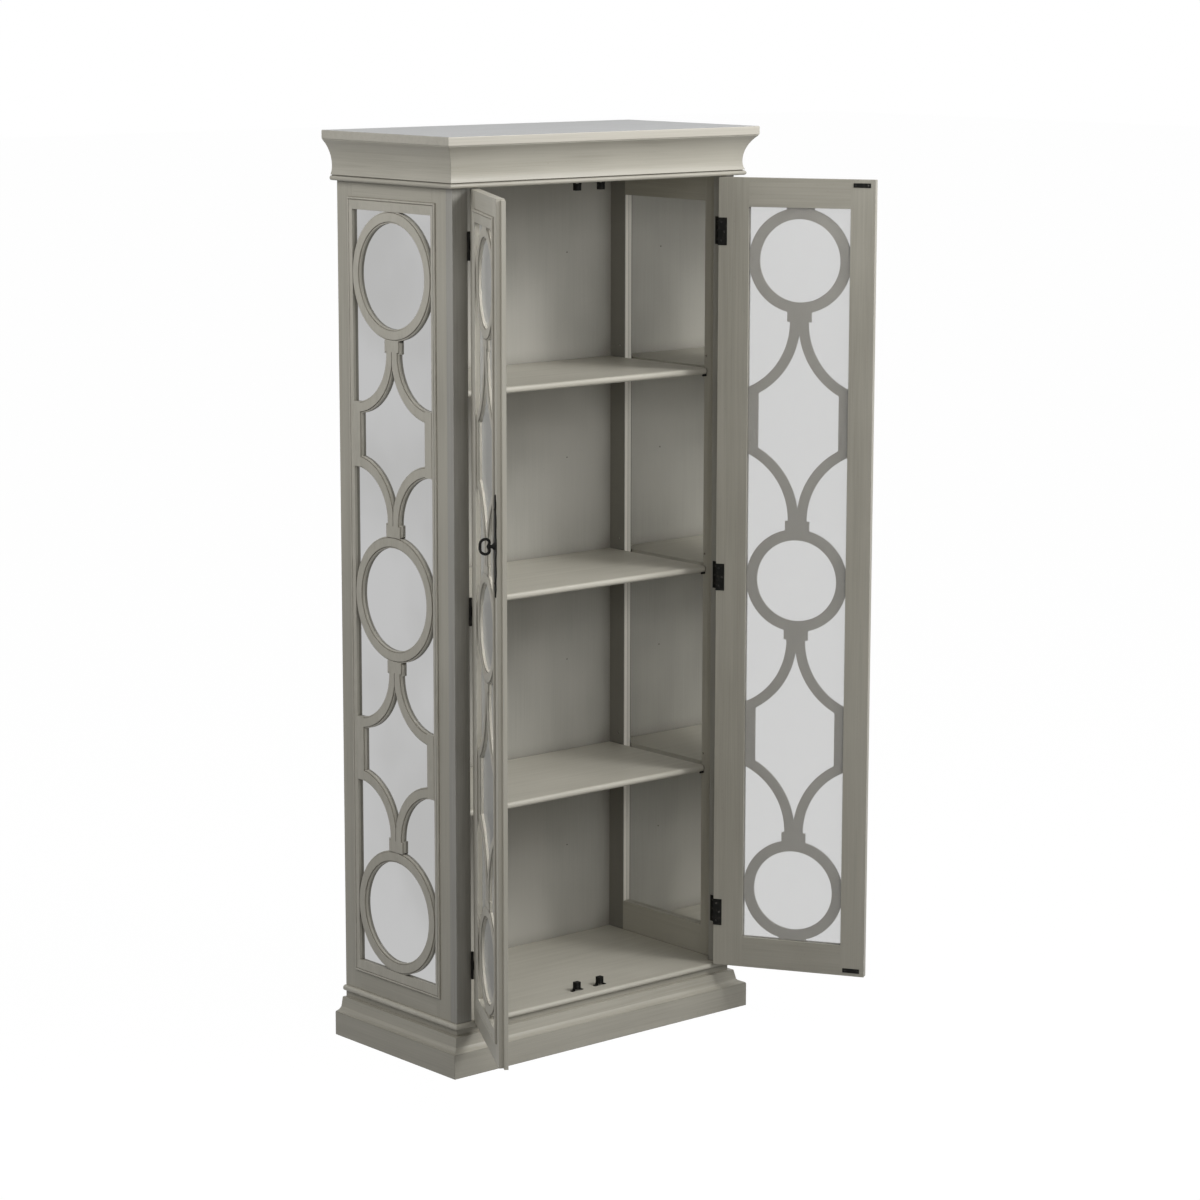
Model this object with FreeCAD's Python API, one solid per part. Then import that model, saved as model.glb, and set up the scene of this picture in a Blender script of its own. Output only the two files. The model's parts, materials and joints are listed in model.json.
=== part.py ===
import FreeCAD, Part
import math
import os

# Tall two-door display cabinet, in millimetres.
# X runs to the right seen from the front, Y to the back, Z up.
# The origin is on the floor, at the centre of the plinth's footprint.

# Overall carcass.
plinth_depth = 446.0
back_plane_y = plinth_depth / 2.0
carcass_width = 821.0
carcass_half = carcass_width / 2.0
total_height = 2083.0

# Top slab.
slab_thickness = 20.0
slab_overhang = 41.0
slab_edge_round = 2.0
slab_round_steps = 2
slab_bottom_z = total_height - slab_thickness

# Crown moulding, projections measured out from the carcass face.
crown_height = 91.5
crown_bottom_z = slab_bottom_z - crown_height
crown_bead_out = 20.5
crown_bead_root = 15.5
crown_bead_height = 10.5
crown_quirk_height = 2.0
crown_quirk_out = 14.0
crown_flare_out = 18.0
crown_throat_out = 13.5
crown_throat_drop = 60.0
crown_throat_z = slab_bottom_z - crown_throat_drop
crown_cove_out = 39.0
crown_lip_height = 1.5

# Face frame.
post_width = 41.5
post_inner_x = carcass_half - post_width
post_thickness = 22.0
post_edge_round = 1.5
post_round_steps = 3

# Side frames.
side_thickness = 20.0
side_front_width = 74.0
side_rear_width = 57.0
side_bottom_height = 72.0
side_top_height = 61.5
pane_outer_setback = 5.0
pane_thickness = 3.5
pane_groove_depth = 6.0

# Back panel and interior boards.
back_thickness = 6.0
back_rabbet_width = 10.0
inner_top_thickness = 18.0
board_bottom_z = 101.0
board_thickness = 13.0
board_nose_out = 9.5
board_nose_round = 6.2
nose_steps = 4

# Base moulding, projections measured out from the carcass face.
base_back_in = 22.0
base_fillet_z = 86.6
base_step_out = 10.5
base_slope_out = 15.0
base_slope_z = 65.0
base_cove_mid_out = 21.6
base_cove_mid_z = 58.6
base_cove_out = 31.0
base_cove_z = 56.0

# Plinth.
plinth_height = 54.0
plinth_out = 32.0
face_y = -back_plane_y + plinth_out
plinth_board = 22.0
bearer_width = 22.0

# Shelves.
shelf_height_shares = [("upper", 0.759), ("middle", 0.508), ("lower", 0.250)]
shelf_thickness = 15.0
shelf_front_lap = 11.0
shelf_rear_gap = 2.0
shelf_side_gap = 3.0
shelf_nose_round = 7.0
pin_radius = 2.5
pin_hole_depth = 7.0
pin_reach = 10.0
pin_front_inset = 5.5
pin_rear_inset = 18.0
pin_row_step = 45.0
pin_sides = 8

# Doors.
door_bottom_gap = 1.5
door_top_gap = 2.0
door_hinge_gap = 2.0
door_meeting_gap = 2.5
door_thickness = 19.0
hinge_stile_width = 71.0
meeting_stile_width = 56.75
door_top_rail = 66.0
door_bottom_rail = 72.0
strip_width = 12.0
strip_thickness = 9.0
strip_top_drop = 3.0
glass_setback = 9.0
glass_thickness = 3.0
glass_groove_depth = 6.0
left_rest_angle = -120.0
right_rest_angle = 121.5

# Raised moulding round the openings. Its lengths above and below are wider.
trim_width = 15.6
trim_end_extra = 11.0
trim_inner_rise = 2.0
trim_slope_run = 9.2
trim_slope_rise = 4.0
trim_quirk_run = 10.0
trim_quirk_rise = 2.2
trim_bead_start = 10.8
trim_bead_rise = 2.8
bead_steps = 6

# Fretwork. An overlay's outer rings are let into the frame by the ring lap.
ring_lap = 1.0
door_fret_thickness = 8.0
side_fret_proud = 3.0

# Door fretwork, centred on the opening.
door_ring_end_gap = 0.5
door_ring_width = 25.5
door_collar_width = 57.0
door_collar_height = 24.8
door_collar_gap = -5.8
door_arc_gap = 2.5
door_neck_width = 44.0
door_band = 23.5
door_strip = 24.0
door_strip_share = 0.34
door_tab_width = 65.0

# Side fretwork, centred on the opening.
side_ring_end_gap = -1.5
side_ring_width = 26.0
side_collar_width = 56.0
side_collar_height = 26.0
side_collar_gap = 1.5
side_arc_gap = 2.0
side_neck_width = 44.0
side_band = 26.5
side_strip = 27.0
side_strip_share = 0.388
side_tab_width = 0.0

# Hinges.
hinge_top_inset = 123.0
hinge_bottom_inset = 128.0
middle_hinge_share = 0.502
hinge_height = 63.0
barrel_radius = 3.0
hinge_pin_radius = 1.2
hinge_pin_clearance = 0.05
hinge_pin_sides = 8
barrel_front_gap = 0.3
knuckle_share = 1.0 / 3.0
knuckle_gap = 0.3
leaf_thickness = 0.8
wrap_leaf_width = 20.0
post_leaf_depth = 16.0
barrel_sides = 12

# Strike plates and magnetic catches.
strike_length = 40.0
strike_height = 10.0
strike_thickness = 1.2
strike_edge_inset = 13.0
strike_from_edge = 30.75
catch_x = 34.5
catch_strike_gap = 0.4
catch_depth = 26.0
catch_foot_length = 7.0
catch_strap = 1.5
catch_width = 17.0
catch_height = 20.0
catch_magnet_height = 11.0
catch_pole_length = 1.2
catch_pole_width = 3.0

# Key pulls.
plate_height = 219.0
plate_width = 26.0
plate_thickness = 2.2
plate_from_edge = 26.6
key_height_share = 0.61
key_collar_radius = 5.5
key_collar_length = 3.0
key_stem_radius = 3.2
key_stem_length = 14.0
key_bow_height = 37.0
key_bow_depth = 23.5
key_bow_tube = 5.8
key_bow_corner = 8.0
key_bow_steps = 2
key_sides = 8
plate_outline_shares = [
    (0.0, 0.50), (0.06, 0.50), (0.10, 0.38), (0.15, 0.34), (0.20, 0.42), (0.25, 0.46), (0.30, 0.36),
    (0.34, 0.26), (0.38, 0.30), (0.415, 0.34), (0.445, 0.22), (0.465, 0.14), (0.485, 0.11), (0.5, 0.0),
]

# Positions that follow from the sizes above.
board_top_z = board_bottom_z + board_thickness
door_bottom_z = board_top_z + door_bottom_gap
door_top_z = crown_bottom_z - door_top_gap
door_hinge_x = post_inner_x - door_hinge_gap
door_free_x = door_meeting_gap / 2.0
door_inner_y = face_y + door_thickness
open_inner_x = door_free_x + meeting_stile_width
open_outer_x = door_hinge_x - hinge_stile_width
open_bottom_z = door_bottom_z + door_bottom_rail
open_top_z = door_top_z - door_top_rail
post_rear_y = face_y + post_thickness
side_inner_x = carcass_half - side_thickness
side_open_front_y = face_y + side_front_width
side_open_rear_y = back_plane_y - side_rear_width
side_open_bottom_z = board_top_z + side_bottom_height
side_open_top_z = crown_bottom_z - side_top_height
pin_front_y = side_open_front_y - pin_front_inset
pin_rear_y = side_open_rear_y + pin_rear_inset
shelf_front_y = side_open_front_y - shelf_front_lap
back_inner_y = back_plane_y - back_thickness
back_half = side_inner_x + back_rabbet_width
pane_out_x = carcass_half - pane_outer_setback
pane_in_x = pane_out_x - pane_thickness
pivot_x = post_inner_x - door_hinge_gap / 2.0
pivot_y = face_y - barrel_radius - barrel_front_gap
glass_out_y = face_y + glass_setback
glass_in_y = glass_out_y + glass_thickness
door_height = door_top_z - door_bottom_z
key_centre_z = door_bottom_z + key_height_share * door_height
hinge_centres = [
    door_top_z - hinge_top_inset,
    door_bottom_z + middle_hinge_share * door_height,
    door_bottom_z + hinge_bottom_inset,
]

# Small spare lengths used only while cutting, so that tools run past faces.
cut_over = 50.0
cut_small = 1.0
sheet_unit = 1.0
close_enough = 1e-6


def vec(x, y, z):
    """A point from three coordinates."""
    return FreeCAD.Vector(x, y, z)


def box(x0, x1, y0, y1, z0, z1):
    """A box between two corners."""
    return Part.makeBox(x1 - x0, y1 - y0, z1 - z0, vec(x0, y0, z0))


def prism(points, along):
    """A polygon pushed along a vector."""
    wire = Part.makePolygon(points + points[:1])
    return Part.Face(wire).extrude(along)


def rod(radius, length, start, along, sides):
    """A many-sided rod whose corners lie on the given radius."""
    along = along.normalize()
    across = vec(0, 0, 1) if abs(along.z) < 0.5 else vec(1, 0, 0)
    other = along.cross(across)
    points = []
    for step in range(sides):
        turn = 2.0 * math.pi * step / sides
        points.append(start + across * (radius * math.cos(turn)) + other * (radius * math.sin(turn)))
    return prism(points, along * length)


def rounded_outline(a0, a1, b0, b1, radii, steps):
    """A rectangle whose corners are rounded each by its own radius, from the lower right."""
    points = []
    corners = [(a1, b0, -1, 1), (a1, b1, -1, -1), (a0, b1, 1, -1), (a0, b0, 1, 1)]
    for index, (a, b, in_a, in_b) in enumerate(corners):
        radius = radii[index]
        if radius == 0:
            points.append((a, b))
            continue
        for step in range(steps + 1):
            turn = math.pi / 2.0 * (index - 1 + step / steps)
            across = a + in_a * radius + radius * math.cos(turn)
            points.append((across, b + in_b * radius + radius * math.sin(turn)))
    return points


def bead(start, end, rise):
    """Points over a round bead from its start to its end."""
    middle = (start + end) / 2.0
    half = (end - start) / 2.0
    turns = [math.pi * step / bead_steps for step in range(bead_steps + 1)]
    return [(middle - half * math.cos(turn), rise * math.sin(turn)) for turn in turns]


def fused(shapes):
    """One clean solid from overlapping or touching solids."""
    if len(shapes) == 1:
        return shapes[0]
    whole = shapes[0].multiFuse(shapes[1:])
    return whole.removeSplitter()


def mirrored(shape):
    """The same shape on the other side of the cabinet's middle."""
    return shape.mirror(vec(0, 0, 0), vec(1, 0, 0))


def profile_wire(steps, place):
    """A closed outline from straight and three-point arc steps."""
    edges = []
    first = place(steps[0][0], steps[0][1])
    here = first
    for step in steps[1:]:
        there = place(step[-2], step[-1])
        if len(step) == 4:
            middle = place(step[0], step[1])
            edges.append(Part.Arc(here, middle, there).toShape())
        else:
            edges.append(Part.makeLine(here, there))
        here = there
    if (here - first).Length > close_enough:
        edges.append(Part.makeLine(here, first))
    return Part.Wire(edges)


def tangent_arc(throat, end):
    """Middle point of an arc that leaves the throat straight up or down."""
    run = end[0] - throat[0]
    rise = end[1] - throat[1]
    radius = (run * run + rise * rise) / (2.0 * run)
    turn = math.asin(abs(rise) / radius) / 2.0
    side = math.copysign(1.0, rise)
    return (throat[0] + radius * (1.0 - math.cos(turn)), throat[1] + side * radius * math.sin(turn))


# Mouldings.


def moulding_front(steps, inner, outer):
    """A length across the front, mitred at both ends."""
    wire = profile_wire(steps, lambda p, z: vec(-carcass_half - cut_over, face_y - p, z))
    bar = Part.Face(wire).extrude(vec(carcass_width + 2.0 * cut_over, 0, 0))
    plan = [
        vec(-carcass_half - outer, face_y - outer, 0),
        vec(carcass_half + outer, face_y - outer, 0),
        vec(carcass_half - inner, face_y + inner, 0),
        vec(-carcass_half + inner, face_y + inner, 0),
    ]
    return bar.common(prism(plan, vec(0, 0, total_height)))


def moulding_side(steps, inner, outer):
    """A length along the right side, mitred at the front."""
    wire = profile_wire(steps, lambda p, z: vec(carcass_half + p, face_y - cut_over, z))
    bar = Part.Face(wire).extrude(vec(0, back_plane_y - face_y + cut_over, 0))
    plan = [
        vec(carcass_half + outer, face_y - outer, 0),
        vec(carcass_half + outer, back_plane_y, 0),
        vec(carcass_half - inner, back_plane_y, 0),
        vec(carcass_half - inner, face_y + inner, 0),
    ]
    return bar.common(prism(plan, vec(0, 0, total_height)))


def crown_steps():
    """Half-round bead, quirk and cove, from the carcass face outwards."""
    bead_top = crown_bottom_z + crown_bead_height
    quirk_top = bead_top + crown_quirk_height
    cove_top = slab_bottom_z - crown_lip_height
    throat = (crown_throat_out, crown_throat_z)
    low = tangent_arc(throat, (crown_flare_out, quirk_top))
    high = tangent_arc(throat, (crown_cove_out, cove_top))
    rounds = bead(crown_bottom_z, bead_top, crown_bead_out - crown_bead_root)
    return [
        (0, crown_bottom_z),
        *[(crown_bead_root + out, z) for z, out in rounds],
        (crown_quirk_out, bead_top),
        (crown_quirk_out, quirk_top),
        (crown_flare_out, quirk_top),
        (low[0], low[1], throat[0], throat[1]),
        (high[0], high[1], crown_cove_out, cove_top),
        (crown_cove_out, slab_bottom_z),
        (0, slab_bottom_z),
    ]


def base_steps():
    """Flush fillet, step, slope and small cove that meets the plinth."""
    return [
        (-base_back_in, plinth_height),
        (base_cove_out, plinth_height),
        (base_cove_out, base_cove_z),
        (base_cove_mid_out, base_cove_mid_z, base_slope_out, base_slope_z),
        (base_step_out, base_fillet_z),
        (0, base_fillet_z),
        (0, board_bottom_z),
        (-base_back_in, board_bottom_z),
    ]


def plinth_steps():
    """A plain upright board."""
    return [
        (plinth_out - plinth_board, 0),
        (plinth_out, 0),
        (plinth_out, plinth_height),
        (plinth_out - plinth_board, plinth_height),
    ]


def nosed_board(half, front, low, high, radius, steps):
    """A board down to the back plane, rounded along its front and both sides."""
    depth = back_plane_y - front
    across = rounded_outline(-half, half, low, high, [radius] * 4, steps)
    wide = prism([vec(x, front, z) for x, z in across], vec(0, depth, 0))
    along = rounded_outline(front, back_plane_y, low, high, [0, 0, radius, radius], steps)
    deep = prism([vec(-half, y, z) for y, z in along], vec(2.0 * half, 0, 0))
    return wide.common(deep)


def make_top_slab():
    """The flat top, with its exposed edges slightly rounded."""
    half = carcass_half + slab_overhang
    front = face_y - slab_overhang
    return nosed_board(half, front, slab_bottom_z, total_height, slab_edge_round, slab_round_steps)


def make_bottom_board():
    """The board that carries the posts, with a nose on three edges."""
    half = carcass_half + board_nose_out
    front = face_y - board_nose_out
    board = nosed_board(half, front, board_bottom_z, board_top_z, board_nose_round, nose_steps)
    return board.cut(make_back_panel())


def make_back_panel():
    """The thin back, let into the rear stiles."""
    return box(-back_half, back_half, back_inner_y, back_plane_y, board_bottom_z, slab_bottom_z)


def make_plinth_back():
    """The rear plinth board, notched round the base mouldings."""
    low_half = carcass_half + plinth_out - plinth_board
    high_half = carcass_half - base_back_in
    front = back_plane_y - plinth_board
    points = [
        vec(-low_half, front, 0),
        vec(low_half, front, 0),
        vec(low_half, front, plinth_height),
        vec(high_half, front, plinth_height),
        vec(high_half, front, board_bottom_z),
        vec(-high_half, front, board_bottom_z),
        vec(-high_half, front, plinth_height),
        vec(-low_half, front, plinth_height),
    ]
    return prism(points, vec(0, plinth_board, 0))


def make_bearer():
    """The joist under the middle of the bottom board."""
    low_front = face_y - plinth_out + plinth_board
    high_front = face_y + base_back_in
    rear = back_plane_y - plinth_board
    x = -bearer_width / 2.0
    points = [
        vec(x, low_front, 0),
        vec(x, rear, 0),
        vec(x, rear, board_bottom_z),
        vec(x, high_front, board_bottom_z),
        vec(x, high_front, plinth_height),
        vec(x, low_front, plinth_height),
    ]
    return prism(points, vec(bearer_width, 0, 0))


# Sides.


def side_pane():
    """The mirror pane, let into grooves all round."""
    return box(
        pane_in_x,
        pane_out_x,
        side_open_front_y - pane_groove_depth,
        side_open_rear_y + pane_groove_depth,
        side_open_bottom_z - pane_groove_depth,
        side_open_top_z + pane_groove_depth,
    )


def shelf_tops():
    """Each shelf's name and the height of its upper face."""
    room = crown_bottom_z - board_top_z
    return [(name, board_top_z + share * room) for name, share in shelf_height_shares]


def pin_heights():
    """Centre heights of the pins that carry each shelf."""
    return [top - shelf_thickness - pin_radius for name, top in shelf_tops()]


def pin_hole(y, z):
    """One blind hole in the right side's inner face."""
    start = vec(side_inner_x - cut_small, y, z)
    return rod(pin_radius, pin_hole_depth + cut_small, start, vec(1, 0, 0), pin_sides)


def side_stile(y0, y1, pin_y):
    """An upright of the right side frame, grooved and drilled."""
    stile = box(side_inner_x, carcass_half, y0, y1, board_top_z, slab_bottom_z)
    holes = []
    for height in pin_heights():
        holes.append(pin_hole(pin_y, height))
        holes.append(pin_hole(pin_y, height + pin_row_step))
    return stile.cut([side_pane()] + holes)


def side_rail(z0, z1):
    """A cross piece of the right side frame."""
    rail = box(side_inner_x, carcass_half, side_open_front_y, side_open_rear_y, z0, z1)
    return rail.cut(side_pane())


def make_side():
    """The right side's frame, pane, overlay and moulding."""
    parts = {}
    parts["front_stile"] = side_stile(post_rear_y, side_open_front_y, pin_front_y)
    rear = side_stile(side_open_rear_y, back_plane_y, pin_rear_y)
    parts["rear_stile"] = rear.cut(make_back_panel())
    parts["top_rail"] = side_rail(side_open_top_z, slab_bottom_z)
    parts["bottom_rail"] = side_rail(board_top_z, side_open_bottom_z)
    parts["mirror"] = side_pane()
    trim = trim_frame(side_open_rear_y - side_open_front_y, side_open_top_z - side_open_bottom_z)
    middle_y = (side_open_front_y + side_open_rear_y) / 2.0
    middle_z = (side_open_bottom_z + side_open_top_z) / 2.0
    parts["moulding"] = stand_up(trim, carcass_half, middle_y, middle_z)
    fret = side_fretwork()
    parts["fretwork"] = stand_up(fret, pane_out_x, middle_y, middle_z)
    return parts


def stand_up(shape, x, y, z):
    """Turns a flat panel so that its upper face looks to the right."""
    turned = shape.copy()
    turned.rotate(vec(0, 0, 0), vec(1, 0, 0), 90)
    turned.rotate(vec(0, 0, 0), vec(0, 0, 1), 90)
    turned.translate(vec(x, y, z))
    return turned


def stand_front(shape, x, y, z):
    """Turns a flat panel so that its upper face looks to the front."""
    turned = shape.copy()
    turned.rotate(vec(0, 0, 0), vec(1, 0, 0), 90)
    turned.translate(vec(x, y, z))
    return turned


# Raised trim.


def trim_steps(extra):
    """Slope, quirk and bead, from the opening's edge outwards."""
    rounds = bead(trim_bead_start + extra, trim_width + extra, trim_bead_rise)
    return [
        (0, 0),
        (0, trim_inner_rise),
        (trim_slope_run + extra, trim_slope_rise),
        (trim_quirk_run + extra, trim_quirk_rise),
        *[(out, trim_quirk_rise + rise) for out, rise in rounds],
        (trim_width + extra, 0),
    ]


def trim_bar(half_run, half_off, extra, next_extra):
    """One length above the middle, mitred to its narrower or wider neighbours."""
    start = -half_run - trim_width - next_extra
    wire = profile_wire(trim_steps(extra), lambda s, h: vec(start, half_off + s, h))
    bar = Part.Face(wire).extrude(vec(-2.0 * start, 0, 0))
    corner = [
        (half_run, half_off),
        (half_run + trim_slope_run + next_extra, half_off + trim_slope_run + extra),
        (half_run + trim_width + next_extra, half_off + trim_width + extra),
    ]
    plan = [vec(x, y, 0) for x, y in corner] + [vec(-x, y, 0) for x, y in reversed(corner)]
    return bar.common(prism(plan, vec(0, 0, trim_quirk_rise + trim_bead_rise)))


def trim_frame(width, height):
    """Four mitred lengths round an opening, flat on the XY plane."""
    upper = trim_bar(width / 2.0, height / 2.0, trim_end_extra, 0.0)
    left = trim_bar(height / 2.0, width / 2.0, 0.0, trim_end_extra)
    left.rotate(vec(0, 0, 0), vec(0, 0, 1), 90)
    bars = [upper, left]
    for bar in (upper, left):
        bars.append(bar.copy())
        bars[-1].rotate(vec(0, 0, 0), vec(0, 0, 1), 180)
    return fused(bars)


# Fretwork.


def flat_ring(outer, inner, centre_z):
    """A thin ring on the XY plane."""
    disc = Part.makeCylinder(outer, sheet_unit, vec(0, centre_z, 0))
    hole = Part.makeCylinder(inner, sheet_unit, vec(0, centre_z, 0))
    return disc.cut(hole)


def flat_bar(half_width, end_a, end_b):
    """A thin rectangle, centred on the middle line."""
    low, high = sorted((end_a, end_b))
    return box(-half_width, half_width, low, high, 0, sheet_unit)


def arm(start, way, radius, band, neck_half, half_w):
    """A curved bar from the neck out to the frame, on the right of the middle line."""
    centre = vec(neck_half + radius, start, 0)
    ring = Part.makeCylinder(radius + band, sheet_unit, centre)
    ring = ring.cut(Part.makeCylinder(radius, sheet_unit, centre))
    low, high = sorted((start, start + way * (radius + band)))
    return ring.common(box(0, half_w, low, high, 0, sheet_unit))


def fret_pattern(half_w, half_h, end_gap, ring_width, collar_w, collar_height, collar_gap,
                 arc_gap, neck_w, band, strip, strip_share, tab_w):
    """Three rings joined by collars, necks and arms that leave the necks straight."""
    ring_out = half_w + ring_lap
    ring_in = ring_out - ring_width
    ring_middle = ring_out - ring_width / 2.0
    pitch = half_h - ring_out - end_gap
    near = ring_out + collar_gap
    far = near + collar_height
    offset = far + arc_gap
    neck_half = neck_w / 2.0
    reach = pitch / 2.0 - offset
    rise = (1.0 - strip_share) * reach
    run = half_w - neck_half
    radius = (run * run + rise * rise) / (2.0 * run)
    pieces = [flat_ring(ring_out, ring_in, ring * pitch) for ring in (-1, 0, 1)]
    for ring, way in ((1, -1), (0, 1), (0, -1), (-1, 1)):
        centre = ring * pitch
        start = centre + way * offset
        pieces.append(flat_bar(collar_w / 2.0, centre + way * near, centre + way * far))
        pieces.append(flat_bar(neck_half, centre + way * ring_middle, start))
        pieces.append(arm(start, way, radius, band, neck_half, half_w))
        pieces.append(mirrored(pieces[-1]))
    strip_half = strip_share * reach
    for middle in (-pitch / 2.0, pitch / 2.0):
        low = middle - strip_half
        high = middle + strip_half
        pieces.append(box(half_w - strip, half_w, low, high, 0, sheet_unit))
        pieces.append(mirrored(pieces[-1]))
    if tab_w > 0:
        pieces.append(flat_bar(tab_w / 2.0, pitch + ring_middle, half_h))
        pieces.append(flat_bar(tab_w / 2.0, -pitch - ring_middle, -half_h))
    return fused(pieces).common(box(-half_w, half_w, -half_h, half_h, 0, sheet_unit))


def thicken(sheet, thickness):
    """Pulls the thin sheet out to a given thickness."""
    lowest = [face for face in sheet.Faces if abs(face.CenterOfMass.z) < close_enough]
    return fused([face.extrude(vec(0, 0, thickness)) for face in lowest])


def door_fretwork():
    """The overlay of one door, flat on the XY plane."""
    half_w = (open_outer_x - open_inner_x) / 2.0
    half_h = (open_top_z - open_bottom_z) / 2.0
    sheet = fret_pattern(half_w, half_h, door_ring_end_gap, door_ring_width, door_collar_width,
                         door_collar_height, door_collar_gap, door_arc_gap, door_neck_width,
                         door_band, door_strip, door_strip_share, door_tab_width)
    return thicken(sheet, door_fret_thickness)


def side_fretwork():
    """The overlay of one side, flat on the XY plane."""
    half_w = (side_open_rear_y - side_open_front_y) / 2.0
    half_h = (side_open_top_z - side_open_bottom_z) / 2.0
    sheet = fret_pattern(half_w, half_h, side_ring_end_gap, side_ring_width, side_collar_width,
                         side_collar_height, side_collar_gap, side_arc_gap, side_neck_width,
                         side_band, side_strip, side_strip_share, side_tab_width)
    return thicken(sheet, pane_outer_setback + side_fret_proud)


# Shelves.


def make_shelf(top):
    """A loose shelf with a rounded front edge."""
    half = side_inner_x - shelf_side_gap
    rear = back_inner_y - shelf_rear_gap
    radii = [0, 0, shelf_nose_round, shelf_nose_round]
    outline = rounded_outline(shelf_front_y, rear, top - shelf_thickness, top, radii, nose_steps)
    return prism([vec(-half, y, z) for y, z in outline], vec(2.0 * half, 0, 0))


def make_pins():
    """Four pins under each shelf."""
    pins = []
    for height in pin_heights():
        for y in (pin_front_y, pin_rear_y):
            start = vec(side_inner_x - pin_reach, y, height)
            pin = rod(pin_radius, pin_hole_depth + pin_reach, start, vec(1, 0, 0), pin_sides)
            pins.append(pin)
            pins.append(mirrored(pin))
    return Part.makeCompound(pins)


# Catches.


def one_catch():
    """A strap bent over a magnet, standing on the XY plane, poles to -Y."""
    half = catch_width / 2.0
    pieces = []
    top = box(-half, half, 0, catch_depth, catch_height - catch_strap, catch_height)
    pieces.append(top)
    for side in (-1, 1):
        x0, x1 = sorted((side * half, side * (half - catch_strap)))
        pieces.append(box(x0, x1, 0, catch_depth, 0, catch_height))
        x0, x1 = sorted((side * (half - catch_strap), side * (half + catch_foot_length)))
        pieces.append(box(x0, x1, 0, catch_depth, 0, catch_strap))
    strap = fused(pieces)
    inner = half - catch_strap
    low = catch_height - catch_strap - catch_magnet_height
    magnet = box(-inner, inner, 0, catch_depth, low, catch_height - catch_strap)
    for side in (-1, 1):
        x0, x1 = sorted((side * inner, side * (inner - catch_pole_width)))
        pole = box(x0, x1, -catch_pole_length, cut_small, low + cut_small, catch_height - catch_strap)
        magnet = magnet.fuse(pole)
    return [strap, magnet.removeSplitter()]


def make_catches():
    """Two catches on the bottom board and two under the inner top."""
    solids = []
    front = door_inner_y + strike_thickness + catch_strike_gap + catch_pole_length
    for x in (-catch_x, catch_x):
        for solid in one_catch():
            low = solid.copy()
            low.translate(vec(x, front, board_top_z))
            solids.append(low)
            high = solid.mirror(vec(0, 0, 0), vec(0, 0, 1))
            high.translate(vec(x, front, crown_bottom_z))
            solids.append(high)
    return Part.makeCompound(solids)


# Hinges.


def hinge_spans(centre):
    """Heights of the three knuckles, from the bottom."""
    low = centre - hinge_height / 2.0
    part = hinge_height * knuckle_share
    return [
        (low, low + part),
        (low + part + knuckle_gap, low + 2.0 * part - knuckle_gap),
        (low + 2.0 * part, low + hinge_height),
    ]


def knuckle(span, bore):
    """One barrel length round the right-hand pivot."""
    start = vec(pivot_x, pivot_y, span[0])
    tube = rod(barrel_radius, span[1] - span[0], start, vec(0, 0, 1), barrel_sides)
    if bore > 0:
        tube = tube.cut(Part.makeCylinder(bore, span[1] - span[0], start))
    return tube


def post_leaf(centre):
    """The right post's leaf with its two knuckles and the pin."""
    low = centre - hinge_height / 2.0
    high = centre + hinge_height / 2.0
    x0 = post_inner_x - leaf_thickness
    pieces = [box(x0, post_inner_x, face_y, face_y + post_leaf_depth, low, high)]
    spans = hinge_spans(centre)
    neck_front = pivot_y + (barrel_radius + hinge_pin_radius) / 2.0
    for span in (spans[0], spans[2]):
        pieces.append(knuckle(span, 0.0))
        pieces.append(box(x0, post_inner_x, neck_front, face_y, span[0], span[1]))
    start = vec(pivot_x, pivot_y, spans[0][1])
    free = spans[2][0] - spans[0][1]
    pieces.append(rod(hinge_pin_radius, free, start, vec(0, 0, 1), hinge_pin_sides))
    return fused(pieces)


def door_leaf(centre):
    """The right door's leaf, wrapped round the hinge edge."""
    low = centre - hinge_height / 2.0
    high = centre + hinge_height / 2.0
    edge = door_hinge_x
    rear = door_inner_y + leaf_thickness
    plate = box(edge, edge + leaf_thickness, face_y, rear, low, high)
    wrap = box(edge - wrap_leaf_width, edge + leaf_thickness, door_inner_y, rear, low, high)
    span = hinge_spans(centre)[1]
    bore = hinge_pin_radius + hinge_pin_clearance
    neck_front = pivot_y + (barrel_radius + bore) / 2.0
    neck = box(edge, edge + leaf_thickness, neck_front, face_y, span[0], span[1])
    return fused([plate, wrap, neck, knuckle(span, bore)])


def make_post_leaves():
    """All six leaves that stay on the posts."""
    solids = []
    for centre in hinge_centres:
        solids.append(post_leaf(centre))
        solids.append(mirrored(solids[-1]))
    return Part.makeCompound(solids)


def make_door_leaves():
    """The right door's three leaves."""
    return Part.makeCompound([door_leaf(centre) for centre in hinge_centres])


# Key pull.


def make_key_pull(x):
    """A shaped backplate with a fixed key standing in it."""
    up = [(share_w * plate_width, share_h * plate_height) for share_h, share_w in plate_outline_shares]
    left = [(-w, h) for w, h in reversed(up[:-1])]
    lower_left = [(-w, -h) for w, h in up[1:]]
    lower_right = [(w, -h) for w, h in reversed(up[1:-1])]
    points = [vec(x + w, face_y, key_centre_z + h) for w, h in up + left + lower_left + lower_right]
    plate = prism(points, vec(0, -plate_thickness, 0))
    front = face_y - plate_thickness
    out = vec(0, -1, 0)
    centre = vec(x, front, key_centre_z)
    collar = rod(key_collar_radius, key_collar_length, centre, out, key_sides)
    stem = rod(key_stem_radius, key_stem_length + key_bow_tube / 2.0, centre, out, key_sides)
    key = fused([collar, stem, key_bow(x, front - key_stem_length)])
    return Part.makeCompound([plate, key])


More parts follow.
